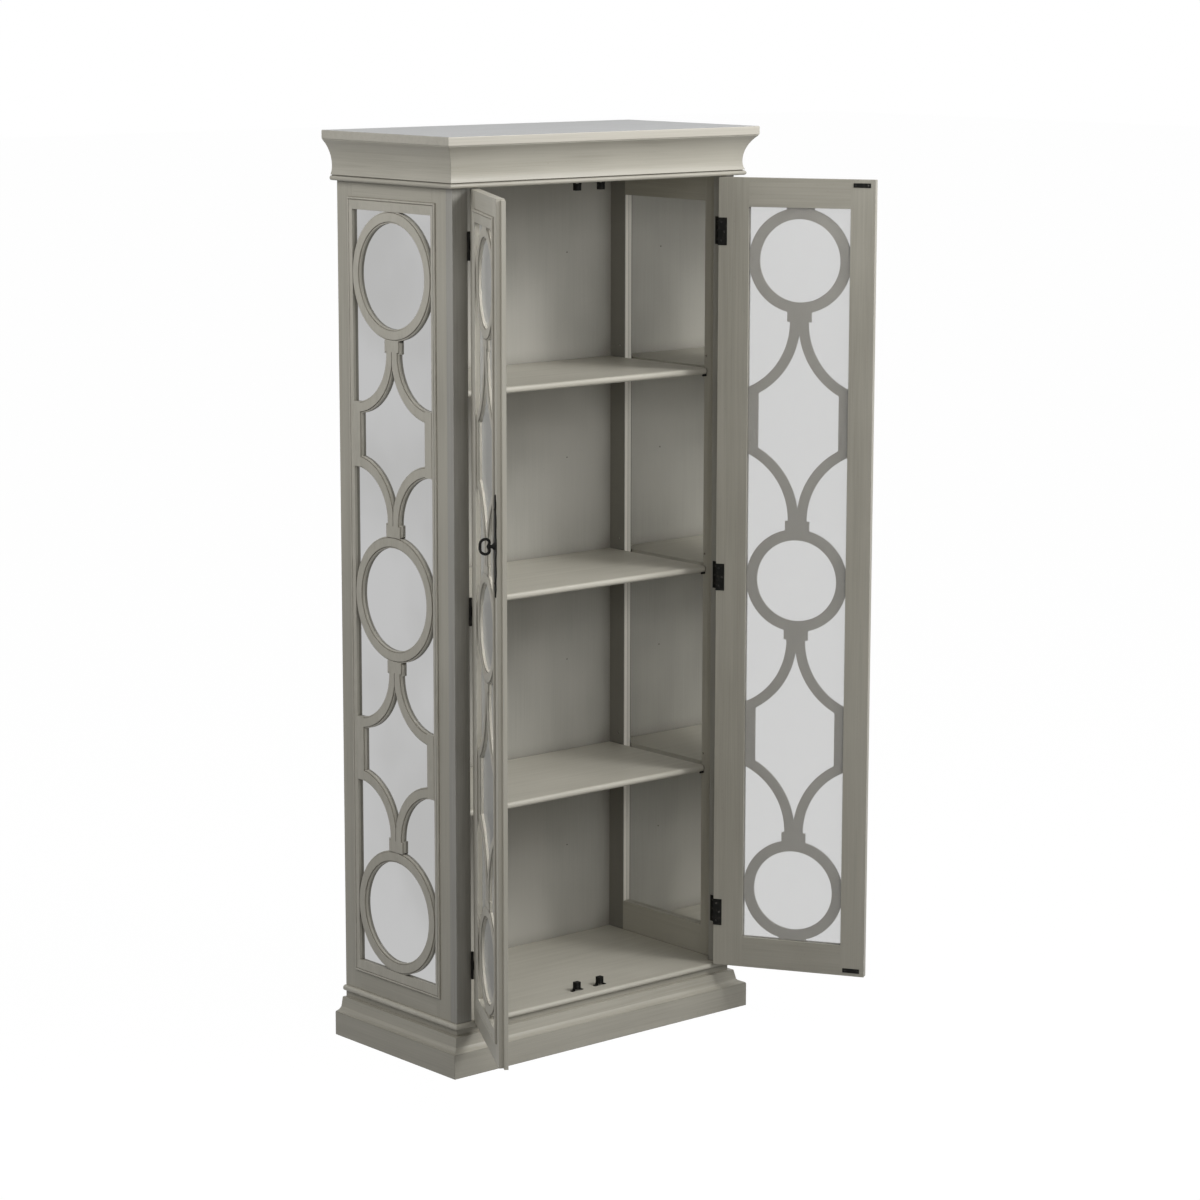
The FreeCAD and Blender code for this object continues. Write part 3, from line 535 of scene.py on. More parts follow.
class Finishes:
    """Every finish of the cabinet, made once."""

    def __init__(self) -> None:
        """Builds all materials."""
        self.paint: dict[Grain, bpy.types.Material] = {
            grain: AntiquePaint(f"antique_paint_{grain.name.lower()}", grain).build()
            for grain in Grain
            if grain is not Grain.SHAPED
        }
        self.paint[Grain.SHAPED] = AntiquePaint(
            "antique_paint_shaped",
            Grain.SHAPED,
            base=(0.455, 0.434, 0.374),
            pale=(0.515, 0.492, 0.428),
            deep=(0.395, 0.375, 0.318),
            glaze_and_shade_amount=0.24,
        ).build()
        self.special = self._special_paints()
        self.mirror = MirrorPane("silvered_mirror").build()
        self.glass = DoorGlass("door_glass").build()
        # A film of glaze and painted shade for the dark lines beside steps and in quirks.
        self.glaze = GlazeAndShadeFilm("glaze_and_shade_film").build()
        self.iron = BlackIron("black_iron").build()
        self.steel = BlackIron(
            "dark_screw_steel",
            dark=(0.03, 0.03, 0.028),
            rubbed=(0.16, 0.15, 0.135),
            roughness=0.40,
            metallic=0.7,
        ).build()

    def _special_paints(self) -> dict[str, bpy.types.Material]:
        """Paints of the boards painted lighter or darker than the rest as painted light and shade, by node.
        """
        paints = {
            # Top slab: painted paler as a painted highlight, with a painted highlight on its front edge and
            # a painted reflection on its top.
            ("top_slab",): AntiquePaint(
                "antique_paint_slab",
                Grain.ACROSS,
                base=(0.420, 0.400, 0.345),
                pale=(0.480, 0.458, 0.398),
                deep=(0.360, 0.341, 0.292),
                nose_y=-0.2312,
            ),
            # Left door's meeting edge: painted paler and with less glaze, as painted light where the
            # meeting strip shades it.
            ("left_door_meeting_stile", "left_door_meeting_strip"): AntiquePaint(
                "antique_paint_meeting_edge_painted_light",
                base=(0.460, 0.439, 0.374),
                pale=(0.520, 0.497, 0.428),
                deep=(0.395, 0.375, 0.316),
                glaze_and_shade_amount=0.15,
            ),
            # Back panel: painted paler as painted light inside, with glaze and painted shade reaching 60 mm
            # into its corners.
            ("back_panel",): AntiquePaint(
                "antique_paint_panel",
                base=(0.465, 0.452, 0.408),
                pale=(0.515, 0.500, 0.454),
                deep=(0.375, 0.366, 0.328),
                streaks=0.22,
                clouding=0.92,
                glaze_and_shade_reach=0.06,
                glaze_and_shade_amount=0.62,
            ),
            # Shelves and bottom board: painted paler as painted light on their tops.
            ("upper_shelf", "middle_shelf", "lower_shelf", "bottom_board"): AntiquePaint(
                "antique_paint_shelf",
                Grain.ACROSS,
                base=(0.515, 0.494, 0.426),
                pale=(0.575, 0.552, 0.480),
                deep=(0.440, 0.420, 0.358),
                streaks=0.30,
            ),
            # Posts: painted darker as painted shade, where the open doors shade their fronts.
            ("left_post", "right_post"): AntiquePaint(
                "antique_paint_post",
                base=(0.345, 0.335, 0.305),
                pale=(0.400, 0.388, 0.355),
                deep=(0.285, 0.276, 0.248),
            ),
            # Side rear stiles: painted shade on the inner face and a painted highlight on the reveal.
            ("left_side_rear_stile", "right_side_rear_stile"): AntiquePaint(
                "antique_paint_rear_stile", inside=0.62, glaze_and_shade_amount=0.45
            ),
        }
        special: dict[str, bpy.types.Material] = {}
        for nodes, paint in paints.items():
            special.update(dict.fromkeys(nodes, paint.build()))
        return special

    def grain_for(self, node: str) -> Grain:
        """Which way the strokes run on a node.

        Args:
            node: the node's name.

        Returns:
            The grain direction.
        """
        deep = {"crown_left", "crown_right", "base_moulding_left", "base_moulding_right"}
        deep |= {"plinth_left", "plinth_right", "plinth_centre_bearer"}
        if node.endswith(("_moulding", "_fretwork")):
            return Grain.SHAPED
        if node.startswith("left_door_") and node.endswith("_rail"):
            return Grain.LEFT_DOOR
        if node.startswith("right_door_") and node.endswith("_rail"):
            return Grain.RIGHT_DOOR
        if node in deep or ("_side_" in node and node.endswith("_rail")):
            return Grain.DEEP
        return Grain.UP if node.endswith("_stile") else Grain.ACROSS

    def material_for(self, node: str) -> bpy.types.Material:
        """The finish of one CAD node."""
        if node.endswith("_mirror"):
            return self.mirror
        if node.endswith("_glass"):
            return self.glass
        if node.endswith(("_key_pull", "_strike_plates", "_leaves", "_catches", "_pins")):
            return self.iron
        return self.special.get(node, self.paint[self.grain_for(node)])

    def dress_frame(self) -> None:
        """Gives every CAD node its finish."""
        for name, obj in frame["nodes"].items():
            material = self.material_for(name)
            if not obj.material_slots:
                obj.data.materials.append(material)
            for slot in obj.material_slots:
                slot.material = material
            LOG.info("node %s: %s", name, material.name)


# Mesh helpers.


def mesh_object(name: str, mesh: bpy.types.Mesh) -> bpy.types.Object:
    """Puts a mesh in the scene as an object."""
    obj = bpy.data.objects.new(name, mesh)
    bpy.context.scene.collection.objects.link(obj)
    return obj


def finished(bm: bmesh.types.BMesh, name: str) -> bpy.types.Mesh:
    """Turns a working mesh into a mesh and frees it."""
    mesh = bpy.data.meshes.new(name)
    bm.to_mesh(mesh)
    bm.free()
    return mesh


def rectangle(x0: float, x1: float, y0: float, y1: float) -> Outline:
    """The outline between two corners, anticlockwise, whichever way they are given."""
    (left, right), (low, high) = sorted((x0, x1)), sorted((y0, y1))
    return [(left, low), (right, low), (right, high), (left, high)]


def prism_mesh(outer: Outline, low: float, high: float, inner: Outline | None = None) -> bpy.types.Mesh:
    """A closed prism from an outline, or a closed band between two outlines.

    Args:
        outer: outline points, anticlockwise.
        low: lower height.
        high: upper height.
        inner: an inner outline with as many points, for a band.

    Returns:
        The mesh.
    """
    bm = bmesh.new()
    rings = [[bm.verts.new((x, y, z)) for x, y in outer] for z in (low, high)]
    count = len(outer)
    following = [(i, (i + 1) % count) for i in range(count)]
    for i, j in following:
        bm.faces.new((rings[0][i], rings[0][j], rings[1][j], rings[1][i]))
    if inner is None:
        bm.faces.new(list(reversed(rings[0])))
        bm.faces.new(rings[1])
    else:
        holes = [[bm.verts.new((x, y, z)) for x, y in inner] for z in (low, high)]
        for i, j in following:
            bm.faces.new((holes[1][i], holes[1][j], holes[0][j], holes[0][i]))
            bm.faces.new((rings[1][i], rings[1][j], holes[1][j], holes[1][i]))
            bm.faces.new((holes[0][i], holes[0][j], rings[0][j], rings[0][i]))
    bmesh.ops.recalc_face_normals(bm, faces=bm.faces)
    return finished(bm, "prism")


def united(meshes: Sequence[bpy.types.Mesh]) -> bpy.types.Mesh:
    """One mesh from overlapping closed meshes."""
    first = mesh_object("union_base", meshes[0])
    others = bpy.data.collections.new("union_parts")
    bpy.context.scene.collection.children.link(others)
    for mesh in meshes[1:]:
        others.objects.link(bpy.data.objects.new("union_part", mesh))
    modifier = first.modifiers.new("union", "BOOLEAN")
    modifier.operation = "UNION"
    modifier.operand_type = "COLLECTION"
    modifier.collection = others
    modifier.solver = "EXACT"
    bpy.context.view_layer.update()
    graph = bpy.context.evaluated_depsgraph_get()
    result = bpy.data.meshes.new_from_object(first.evaluated_get(graph))
    for obj in list(others.objects):
        bpy.data.objects.remove(obj)
    bpy.data.collections.remove(others)
    bpy.data.objects.remove(first)
    return result


def moved(mesh: bpy.types.Mesh, place: Matrix) -> bpy.types.Mesh:
    """A copy of the mesh at another place."""
    copy = mesh.copy()
    copy.transform(place)
    return copy


def mirrored(mesh: bpy.types.Mesh, axis: Triple) -> bpy.types.Mesh:
    """A copy of the mesh mirrored along an axis, with its faces turned back out."""
    copy = moved(mesh, Matrix.Scale(-1.0, 4, axis))
    copy.flip_normals()
    return copy


def joined(meshes: Sequence[tuple[bpy.types.Mesh, Matrix]]) -> bpy.types.Mesh:
    """One mesh that holds several, each moved by its own transform."""
    bm = bmesh.new()
    for mesh, matrix in meshes:
        copy = moved(mesh, matrix)
        bm.from_mesh(copy)
        bpy.data.meshes.remove(copy)
    return finished(bm, "joined")


def together(*meshes: bpy.types.Mesh) -> bpy.types.Mesh:
    """One mesh that holds several where they are."""
    return joined([(mesh, Matrix.Identity(4)) for mesh in meshes])


def stitched(rings: Sequence[Sequence[Vector]], closed: bool) -> bpy.types.Mesh:
    """A closed skin over rings of points that all have the same count.

    Args:
        rings: the rings, in order.
        closed: whether the last ring joins the first; otherwise both ends get a lid.

    Returns:
        The mesh, shaded smooth.
    """
    bm = bmesh.new()
    rows = [[bm.verts.new(point) for point in ring] for ring in rings]
    for low, high in zip(rows, rows[1:] + (rows[:1] if closed else [])):
        for i in range(len(low)):
            j = (i + 1) % len(low)
            bm.faces.new((low[i], low[j], high[j], high[i]))
    if not closed:
        bm.faces.new(list(reversed(rows[0])))
        bm.faces.new(rows[-1])
    bmesh.ops.recalc_face_normals(bm, faces=bm.faces)
    mesh = finished(bm, "stitched")
    mesh.polygons.foreach_set("use_smooth", [True] * len(mesh.polygons))
    return mesh


def turned(profile: Outline, sides: int) -> bpy.types.Mesh:
    """A turned shape about the Z axis from pairs of radius and height."""
    turns = [2.0 * math.pi * i / sides for i in range(sides)]
    rings = [[Vector((r * math.cos(t), r * math.sin(t), z)) for t in turns] for r, z in profile]
    return stitched(rings, closed=False)


def loop_tube(path: Outline, radius: float, sides: int) -> bpy.types.Mesh:
    """A round bar bent into a closed loop that lies in the YZ plane."""
    count = len(path)
    rings: list[list[Vector]] = []
    for i, (y, z) in enumerate(path):
        before, after = path[i - 1], path[(i + 1) % count]
        along = Vector((0.0, after[0] - before[0], after[1] - before[1])).normalized()
        across = along.cross(Vector((1.0, 0.0, 0.0)))
        ring = []
        for k in range(sides):
            turn = 2.0 * math.pi * k / sides
            offset = across * (radius * math.cos(turn)) + Vector((radius * math.sin(turn), 0.0, 0.0))
            ring.append(Vector((0.0, y, z)) + offset)
        rings.append(ring)
    return stitched(rings, closed=True)


def rounded(points: Outline, steps: int) -> Outline:
    """A closed smooth curve through the points, as a Catmull-Rom spline."""
    curve: Outline = []
    count = len(points)
    for i in range(count):
        a, b, c, d = (points[(i + k) % count] for k in (-1, 0, 1, 2))
        for step in range(steps):
            t = step / steps
            weights = (
                -0.5 * t + t * t - 0.5 * t**3,
                1.0 - 2.5 * t * t + 1.5 * t**3,
                0.5 * t + 2.0 * t * t - 1.5 * t**3,
                -0.5 * t * t + 0.5 * t**3,
            )
            curve.append(tuple(sum(w * p[k] for w, p in zip(weights, (a, b, c, d))) for k in (0, 1)))
    return curve


def place_piece(
    name: str,
    mesh: bpy.types.Mesh,
    material: bpy.types.Material,
    body: Body,
    replaces: str | None = None,
) -> None:
    """Adds a piece that is drawn with its door closed, and lets it ride.

    Args:
        name: the piece's name.
        mesh: its mesh, which is turned to where the body rests.
        material: its finish.
        body: what it moves with.
        replaces: the CAD node that it stands for.
    """
    mesh.transform(body.placed())
    mesh.materials.clear()
    mesh.materials.append(material)
    obj = mesh_object(name, mesh)
    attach(obj, body.value)
    if replaces:
        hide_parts(replaces)
    LOG.info("piece %s on %s: %d faces", name, body.value, len(mesh.polygons))


def door_places(x: float, y: float, z: float) -> Iterator[tuple[Body, Matrix]]:
    """Each door and where a flat drawn piece stands on it, facing the front when closed."""
    stand = Matrix.Rotation(QUARTER, 4, "X")
    for body, way in ((Body.RIGHT_DOOR, 1.0), (Body.LEFT_DOOR, -1.0)):
        yield body, Matrix.Translation((way * x, y, z)) @ stand


class Opening(Enum):
    """Openings that hold a pane: how far along, and how high, the right one's middle lies."""

    DOOR = (0.177, 1.0455)
    SIDE = (0.0245, 1.048)

    def places(self, face: float) -> Iterator[tuple[str, Body, Matrix]]:
        """Where a piece that is drawn flat about its middle stands in both openings.

        Args:
            face: where its underside lies: y on a closed door, x on the right side.

        Yields:
            The opening's name, what moves with it, and the transform.
        """
        along, up = self.value
        if self is Opening.DOOR:
            for body, place in door_places(along, face, up):
                yield body.value, body, place
            return
        stand = Matrix.Rotation(QUARTER, 4, "X")
        for way, word in ((1.0, "right"), (-1.0, "left")):
            turn = Matrix.Rotation(way * QUARTER, 4, "Z")
            yield f"{word}_side", Body.CABINET, Matrix.Translation((way * face, along, up)) @ turn @ stand


# Fretwork.


@dataclass
class Fretwork:
    """Rings, collars and open lozenges cut from a sheet, with a raised band along the middle."""

    half_width: float
    half_height: float
    pitch: float
    ring_inner: float
    ring_outer: float
    collar_width: float
    collar_near: float
    collar_far: float
    neck_width: float
    arc_offset: float
    arc_radius: float
    band: float
    strip: float
    tab_width: float
    step: float
    slit: float
    base_thickness: float = 0.0055
    raised_thickness: float = 0.0025
    collar_groove: float = 0.0016
    line_width: float = 0.0012
    line_height: float = 0.00025
    overlap: float = 0.0005
    ring_points: int = 128
    arc_points: int = 25

    @property
    def ring_middle(self) -> float:
        """Radius in the middle of a ring's band."""
        return (self.ring_inner + self.ring_outer) / 2.0

    def _ring(self, centre: float, inset: float) -> tuple[Outline, Outline]:
        """Outer outline of one ring, kept inside the opening, and its inner outline."""
        turns = [2.0 * math.pi * i / self.ring_points for i in range(self.ring_points)]
        outer, inner = self.ring_outer - inset, self.ring_inner + inset
        w, h = self.half_width, self.half_height
        far = [(outer * math.cos(t), centre + outer * math.sin(t)) for t in turns]
        near = [(inner * math.cos(t), centre + inner * math.sin(t)) for t in turns]
        return [(max(-w, min(w, x)), max(-h, min(h, y))) for x, y in far], near

    def _slit_edge(self, inset: float) -> float:
        """How far from the middle line an arm begins."""
        if inset == 0.0:
            return 0.0
        return max(self.slit / 2.0, self.neck_width / 2.0 - self.band + inset)

    def _arm(self, start: float, way: int, side: int, inset: float) -> Outline:
        """One curved arm from a collar out to the frame.

        Args:
            start: the height at which it begins.
            way: 1 where it runs up, -1 where it runs down.
            side: 1 to the right, -1 to the left.
            inset: how much narrower it is than the full band, on each edge.

        Returns:
            The arm's outline.
        """
        centre = self.neck_width / 2.0 + self.arc_radius
        near = self.arc_radius + inset
        far = self.arc_radius + self.band - inset
        cut = self._slit_edge(inset)
        last = math.acos((centre - self.half_width) / near)
        first_far = math.acos(min(1.0, (centre - cut) / far))
        last_far = math.acos((centre - self.half_width) / far)
        shares = [i / (self.arc_points - 1) for i in range(self.arc_points)]
        turns = [(near, last * share) for share in shares]
        turns += [(far, last_far + (first_far - last_far) * share) for share in shares]
        points = [(centre - radius * math.cos(turn), radius * math.sin(turn)) for radius, turn in turns]
        if first_far > 0.0:
            points.append((cut, 0.0))
        placed = [(side * x, start + way * y) for x, y in points]
        return placed if side * way > 0 else list(reversed(placed))

    def _collars_and_arms(self, inset: float) -> list[Outline]:
        """The four collars, each with its two arms and what joins them."""
        outlines: list[Outline] = []
        half = self.neck_width / 2.0
        collar = self.collar_width / 2.0 - inset
        for ring, way in ((1, -1), (0, 1), (0, -1), (-1, 1)):
            centre = ring * self.pitch
            far = centre + way * (self.collar_far - inset)
            start = centre + way * self.arc_offset
            if inset > 0:
                near = centre + way * (self.ring_outer - inset + self.collar_groove)
            else:
                near = centre + way * self.collar_near
                outlines.append(rectangle(-half, half, centre + way * self.ring_middle, start))
            outlines.append(rectangle(-collar, collar, near, far))
            for side in (-1, 1):
                outlines.append(self._arm(start, way, side, inset))
                if inset > 0:
                    x0, x1 = side * self._slit_edge(inset), side * (half - inset)
                    y0, y1 = far - way * self.overlap, start + way * self.overlap
                    outlines.append(rectangle(x0, x1, y0, y1))
        return outlines

    def _strips_and_tabs(self, inset: float) -> list[Outline]:
        """The strips that lie along the frame, and the tabs above and below, if any."""
        centre = self.neck_width / 2.0 + self.arc_radius
        turn = math.acos((centre - self.half_width) / self.arc_radius)
        reach = self.pitch / 2.0 - self.arc_offset - self.arc_radius * math.sin(turn)
        inner = self.half_width - self.strip + inset
        outlines = [
            rectangle(side * inner, side * self.half_width, middle - reach, middle + reach)
            for middle in (-self.pitch / 2.0, self.pitch / 2.0)
            for side in (-1, 1)
        ]
        if self.tab_width > 0:
            half = self.tab_width / 2.0 - inset
            near = self.pitch + self.ring_middle
            outlines += [rectangle(-half, half, way * near, way * self.half_height) for way in (-1, 1)]
        return outlines

    def _layer(self, inset: float, low: float, high: float) -> bpy.types.Mesh:
        """The whole pattern between two heights, narrowed by the inset."""
        meshes: list[bpy.types.Mesh] = []
        for ring in (-1, 0, 1):
            outer, inner = self._ring(ring * self.pitch, inset)
            meshes.append(prism_mesh(outer, low, high, inner))
        outlines = [*self._collars_and_arms(inset), *self._strips_and_tabs(inset)]
        return united([*meshes, *(prism_mesh(outline, low, high) for outline in outlines)])

    def build(self) -> bpy.types.Mesh:
        """Full-width layer with the raised band on it, flat on the XY plane."""
        low = self._layer(0.0, 0.0, self.base_thickness)
        high = self._layer(self.step, self.base_thickness, self.base_thickness + self.raised_thickness)
        return together(low, high)

    def glaze_and_shade_line(self) -> bpy.types.Mesh:
        """A film of glaze and painted shade that shows as a dark line beside the raised band and above each
        collar.
        """
        top = self.base_thickness + self.line_height
        return self._layer(self.step - self.line_width, self.base_thickness, top)


@dataclass
class Overlay:
    """A pattern of fretwork that is set in both openings of one kind."""

    opening: Opening
    face: float
    pattern: Fretwork

    def dress(self, finishes: Finishes) -> None:
        """Builds the overlay and sets one in each opening."""
        flat, line = self.pattern.build(), self.pattern.glaze_and_shade_line()
        paint = finishes.paint[Grain.SHAPED]
        for where, body, place in self.opening.places(self.face):
            name = f"{where}_fretwork"
            place_piece(f"{name}_cut", moved(flat, place), paint, body, name)
            # Dark line of glaze and painted shade beside the raised band.
            place_piece(f"{name}_glaze_line", moved(line, place), finishes.glaze, body)


@dataclass
class DoorFret(Overlay):
    """The overlay of both doors, just off the panes."""

    opening: Opening = Opening.DOOR
    face: float = -0.1821
    pattern: Fretwork = field(
        default_factory=lambda: Fretwork(
            half_width=0.119,
            half_height=0.858,
            pitch=0.7375,
            ring_inner=0.0945,
            ring_outer=0.120,
            collar_width=0.057,
            collar_near=0.1142,
            collar_far=0.139,
            neck_width=0.044,
            arc_offset=0.1415,
            arc_radius=0.1645,
            band=0.0235,
            strip=0.024,
            tab_width=0.065,
            step=0.0032,
            slit=0.0,
        )
    )


@dataclass
class SideFret(Overlay):
    """The overlay of both sides, just off the mirrors."""

    opening: Opening = Opening.SIDE
    face: float = 0.4056
    pattern: Fretwork = field(
        default_factory=lambda: Fretwork(
            half_width=0.1415,
            half_height=0.862,
            pitch=0.721,
            ring_inner=0.1165,
            ring_outer=0.1425,
            collar_width=0.056,
            collar_near=0.144,
            collar_far=0.170,
            neck_width=0.044,
            arc_offset=0.172,
            arc_radius=0.1154,
            band=0.0265,
            strip=0.027,
            tab_width=0.0,
            step=0.0036,
            slit=0.0018,
        )
    )


@dataclass
class TrimLines:
    """Dark lines of glaze and painted shade where the trim's bead meets the face and in its quirk."""

    bead_out: float = 0.0156
    quirk_out: float = 0.0100
    end_extra: float = 0.0110
    outer_width: float = 0.0009
    quirk_width: float = 0.0008
    quirk_rise: float = 0.0022
    film: float = 0.00015
    door_face: float = -0.191
    side_face: float = 0.4105

    def _frame(self, half_w: float, half_h: float, out: float, width: float, low: float) -> bpy.types.Mesh:
        """A thin rectangular band round an opening.

        Args:
            half_w: half the opening's width.
            half_h: half the opening's height.
            out: how far outside the opening the band begins.
            width: the band's width.
            low: the height of its underside.

        Returns:
            The mesh, flat on the XY plane.
        """
        outlines: list[Outline] = []
        for reach in (out + width, out):
            x, y = half_w + reach, half_h + reach + self.end_extra
            outlines.append(rectangle(-x, x, -y, y))
        return prism_mesh(outlines[0], low, low + self.film, outlines[1])

    def dress(self, finishes: Finishes, overlays: Sequence[Overlay]) -> None:
        """Lays both lines round all the openings that the overlays fill."""
        for overlay in overlays:
            half = (overlay.pattern.half_width, overlay.pattern.half_height)
            bead = self._frame(*half, self.bead_out, self.outer_width, 0.0)
            quirk = self._frame(*half, self.quirk_out, self.quirk_width, self.quirk_rise)
            flat = together(bead, quirk)
            face = self.door_face if overlay.opening is Opening.DOOR else self.side_face
            for where, body, place in overlay.opening.places(face):
                # Dark lines of glaze and painted shade round each opening.
                place_piece(f"{where}_trim_lines", moved(flat, place), finishes.glaze, body)


# Hardware.


@dataclass
class KeyPull:
    """A cast backplate with a key standing in it, on each door."""

    x: float = 0.02785
    face_y: float = -0.191
    z: float = 1.24644
    height: float = 0.219
    width: float = 0.026
    plate: float = 0.0015
    relief: float = 0.0013
    relief_inset: float = 0.0012
    pin_spread: float = 0.078
    tube: float = 0.0030
    stem_end: float = 0.0092
    loop_reach: float = 0.0216

    def _outline(self, inset: float) -> Outline:
        """The backplate's outline, drawn in by an inset, from shares of its height and width."""
        shares = [
            (0.0, 0.50), (0.06, 0.50), (0.10, 0.38), (0.15, 0.34), (0.20, 0.42), (0.25, 0.46), (0.30, 0.36),
            (0.34, 0.26), (0.38, 0.30), (0.415, 0.34), (0.445, 0.22), (0.465, 0.14), (0.485, 0.11),
        ]
        quarter = [(w * self.width - inset, h * (self.height - 2.0 * inset)) for h, w in shares]
        tip = self.height / 2.0 - inset
        right = [(x, -y) for x, y in reversed(quarter[1:])] + quarter
        left = [(-x, -y) for x, y in right]
        return [(0.0, -tip), *right, (0.0, tip), *left]

    def _plate(self) -> bpy.types.Mesh:
        """Plate, its raised centre and two round-headed pins, flat on the XY plane."""
        top = self.plate + self.relief
        low = prism_mesh(rounded(self._outline(0.0), 4), 0.0, self.plate)
        high = prism_mesh(rounded(self._outline(self.relief_inset), 4), self.plate, top)
        pin = turned([(0.0022, 0.0), (0.0021, 0.0008), (0.0014, 0.0014), (0.0004, 0.0016)], 16)
        pins = [moved(pin, Matrix.Translation((0.0, way * self.pin_spread, top))) for way in (-1.0, 1.0)]
        return together(low, high, *pins)

    def _stem(self) -> bpy.types.Mesh:
        """The key's flared and ringed stem, pointing along Z."""
        base = self.plate + self.relief
        profile = [
            (0.0088, 0.0), (0.0084, 0.0014), (0.0064, 0.0030), (0.0050, 0.0048),
            (0.0040, 0.0064), (0.0038, 0.0074), (0.0046, 0.0084), (0.0046, 0.0096),
            (0.0036, 0.0108), (0.0036, 0.0126), (0.0018, 0.0144),
        ]
        return turned([(radius, base + rise) for radius, rise in profile], 20)

    def _loop(self) -> bpy.types.Mesh:
        """The key's loop, whose ends curl in, with beads at its far end."""
        near = self.plate + self.relief + self.stem_end
        half = [
            (0.0050, 0.0), (0.0032, 0.0036), (0.0014, 0.0078), (0.0028, 0.0124),
            (0.0078, 0.0157), (0.0140, 0.0152), (0.0194, 0.0114), (0.0214, 0.0056),
        ]
        upper = [(up, near + out) for out, up in half]
        lower = [(-up, out) for up, out in reversed(upper[1:])]
        loop = loop_tube(rounded([*upper, (0.0, near + self.loop_reach), *lower], 6), self.tube, 12)
        bead = turned([(0.0034, -0.0007), (0.0037, 0.0), (0.0034, 0.0007)], 16)
        lay = Matrix.Rotation(QUARTER, 4, "X")
        beads = [
            moved(bead, Matrix.Translation((0.0, up, near + 0.0215 - abs(up) * 0.03)) @ lay)
            for up in (-0.0060, -0.0020, 0.0020, 0.0060)
        ]
        return together(loop, *beads)

    def dress(self, finishes: Finishes) -> None:
        """Builds one pull and sets it on both doors."""
        whole = together(self._plate(), self._stem(), self._loop())
        for body, place in door_places(self.x, self.face_y, self.z):
            name = f"{body.value}_key_pull"
            place_piece(f"{name}_cast", moved(whole, place), finishes.iron, body, name)


@dataclass
class Catches:
    """Magnet cases, each held up by a bent strap with a foot on either side."""

    x: float = 0.0345
    y: float = -0.1612
    floor_z: float = 0.1140
    roof_z: float = 1.9715
    case_width: float = 0.0150
    case_depth: float = 0.0130
    case_low: float = 0.0050
    case_high: float = 0.0200
    corner: float = 0.0012
    strap: float = 0.0015
    strap_depth: float = 0.0085
    pole_share: float = 0.26
    pole_width: float = 0.0030
    pole_reach: float = 0.0012
    pole_margin: float = 0.0015

    def _case(self) -> bpy.types.Mesh:
        """The magnet's case with cut corners."""
        w, d, c = self.case_width / 2.0, self.case_depth / 2.0, self.corner
        front = [(-w + c, -d), (w - c, -d), (w, -d + c), (w, d - c)]
        outline = [*front, *[(-x, -y) for x, y in front]]
        return prism_mesh(outline, self.case_low, self.case_high)

    def _poles(self) -> list[bpy.types.Mesh]:
        """Two steel poles that stand out at the front."""
        front, half = -self.case_depth / 2.0, self.pole_width / 2.0
        meshes: list[bpy.types.Mesh] = []
        for side in (-1.0, 1.0):
            x = side * self.case_width * self.pole_share
            outline = rectangle(x - half, x + half, front - self.pole_reach, front + self.pole_reach)
            low, high = self.case_low + self.pole_margin, self.case_high - self.pole_margin
            meshes.append(prism_mesh(outline, low, high))
        return meshes

    def _bracket(self) -> bpy.types.Mesh:
        """The bent strap, with both feet on the board."""
        t = self.strap
        under = [(0.0070, 0.0050), (0.0074, 0.0032), (0.0086, 0.0010), (0.0106, 0.0), (0.0166, 0.0)]
        top = [(0.0166, t), (0.0116, t), (0.0100, 0.0022), (0.0092, 0.0036), (0.0088, 0.0062)]
        right = [*under, *top, (0.0084, 0.0066)]
        outline = [*right, *[(-x, z) for x, z in reversed(right)]]
        band = prism_mesh(outline, -self.strap_depth / 2.0, self.strap_depth / 2.0)
        band.transform(Matrix.Rotation(QUARTER, 4, "X"))
        return band

    def dress(self, finishes: Finishes) -> None:
        """Builds one catch and sets four."""
        low = together(self._case(), self._bracket(), *self._poles())
        high = mirrored(low, (0.0, 0.0, 1.0))
        whole = joined(
            [
                (mesh, Matrix.Translation((side * self.x, self.y, z)))
                for side in (-1.0, 1.0)
                for mesh, z in ((low, self.floor_z), (high, self.roof_z))
            ]
        )
        name = "magnetic_catches"
        place_piece(f"{name}_bent", whole, finishes.iron, Body.CABINET, name)


class Facing(Enum):
    """Which way a screw head looks, on a closed door or the cabinet."""

    BACK = (-90.0, "X")
    LEFT = (-90.0, "Y")
    UP = (0.0, "X")
    DOWN = (180.0, "X")
    FRONT = (90.0, "X")

    def turn(self) -> Matrix:
        """Rotation that turns Z to this way."""
        degrees, axis = self.value
        return Matrix.Rotation(math.radians(degrees), 4, axis)


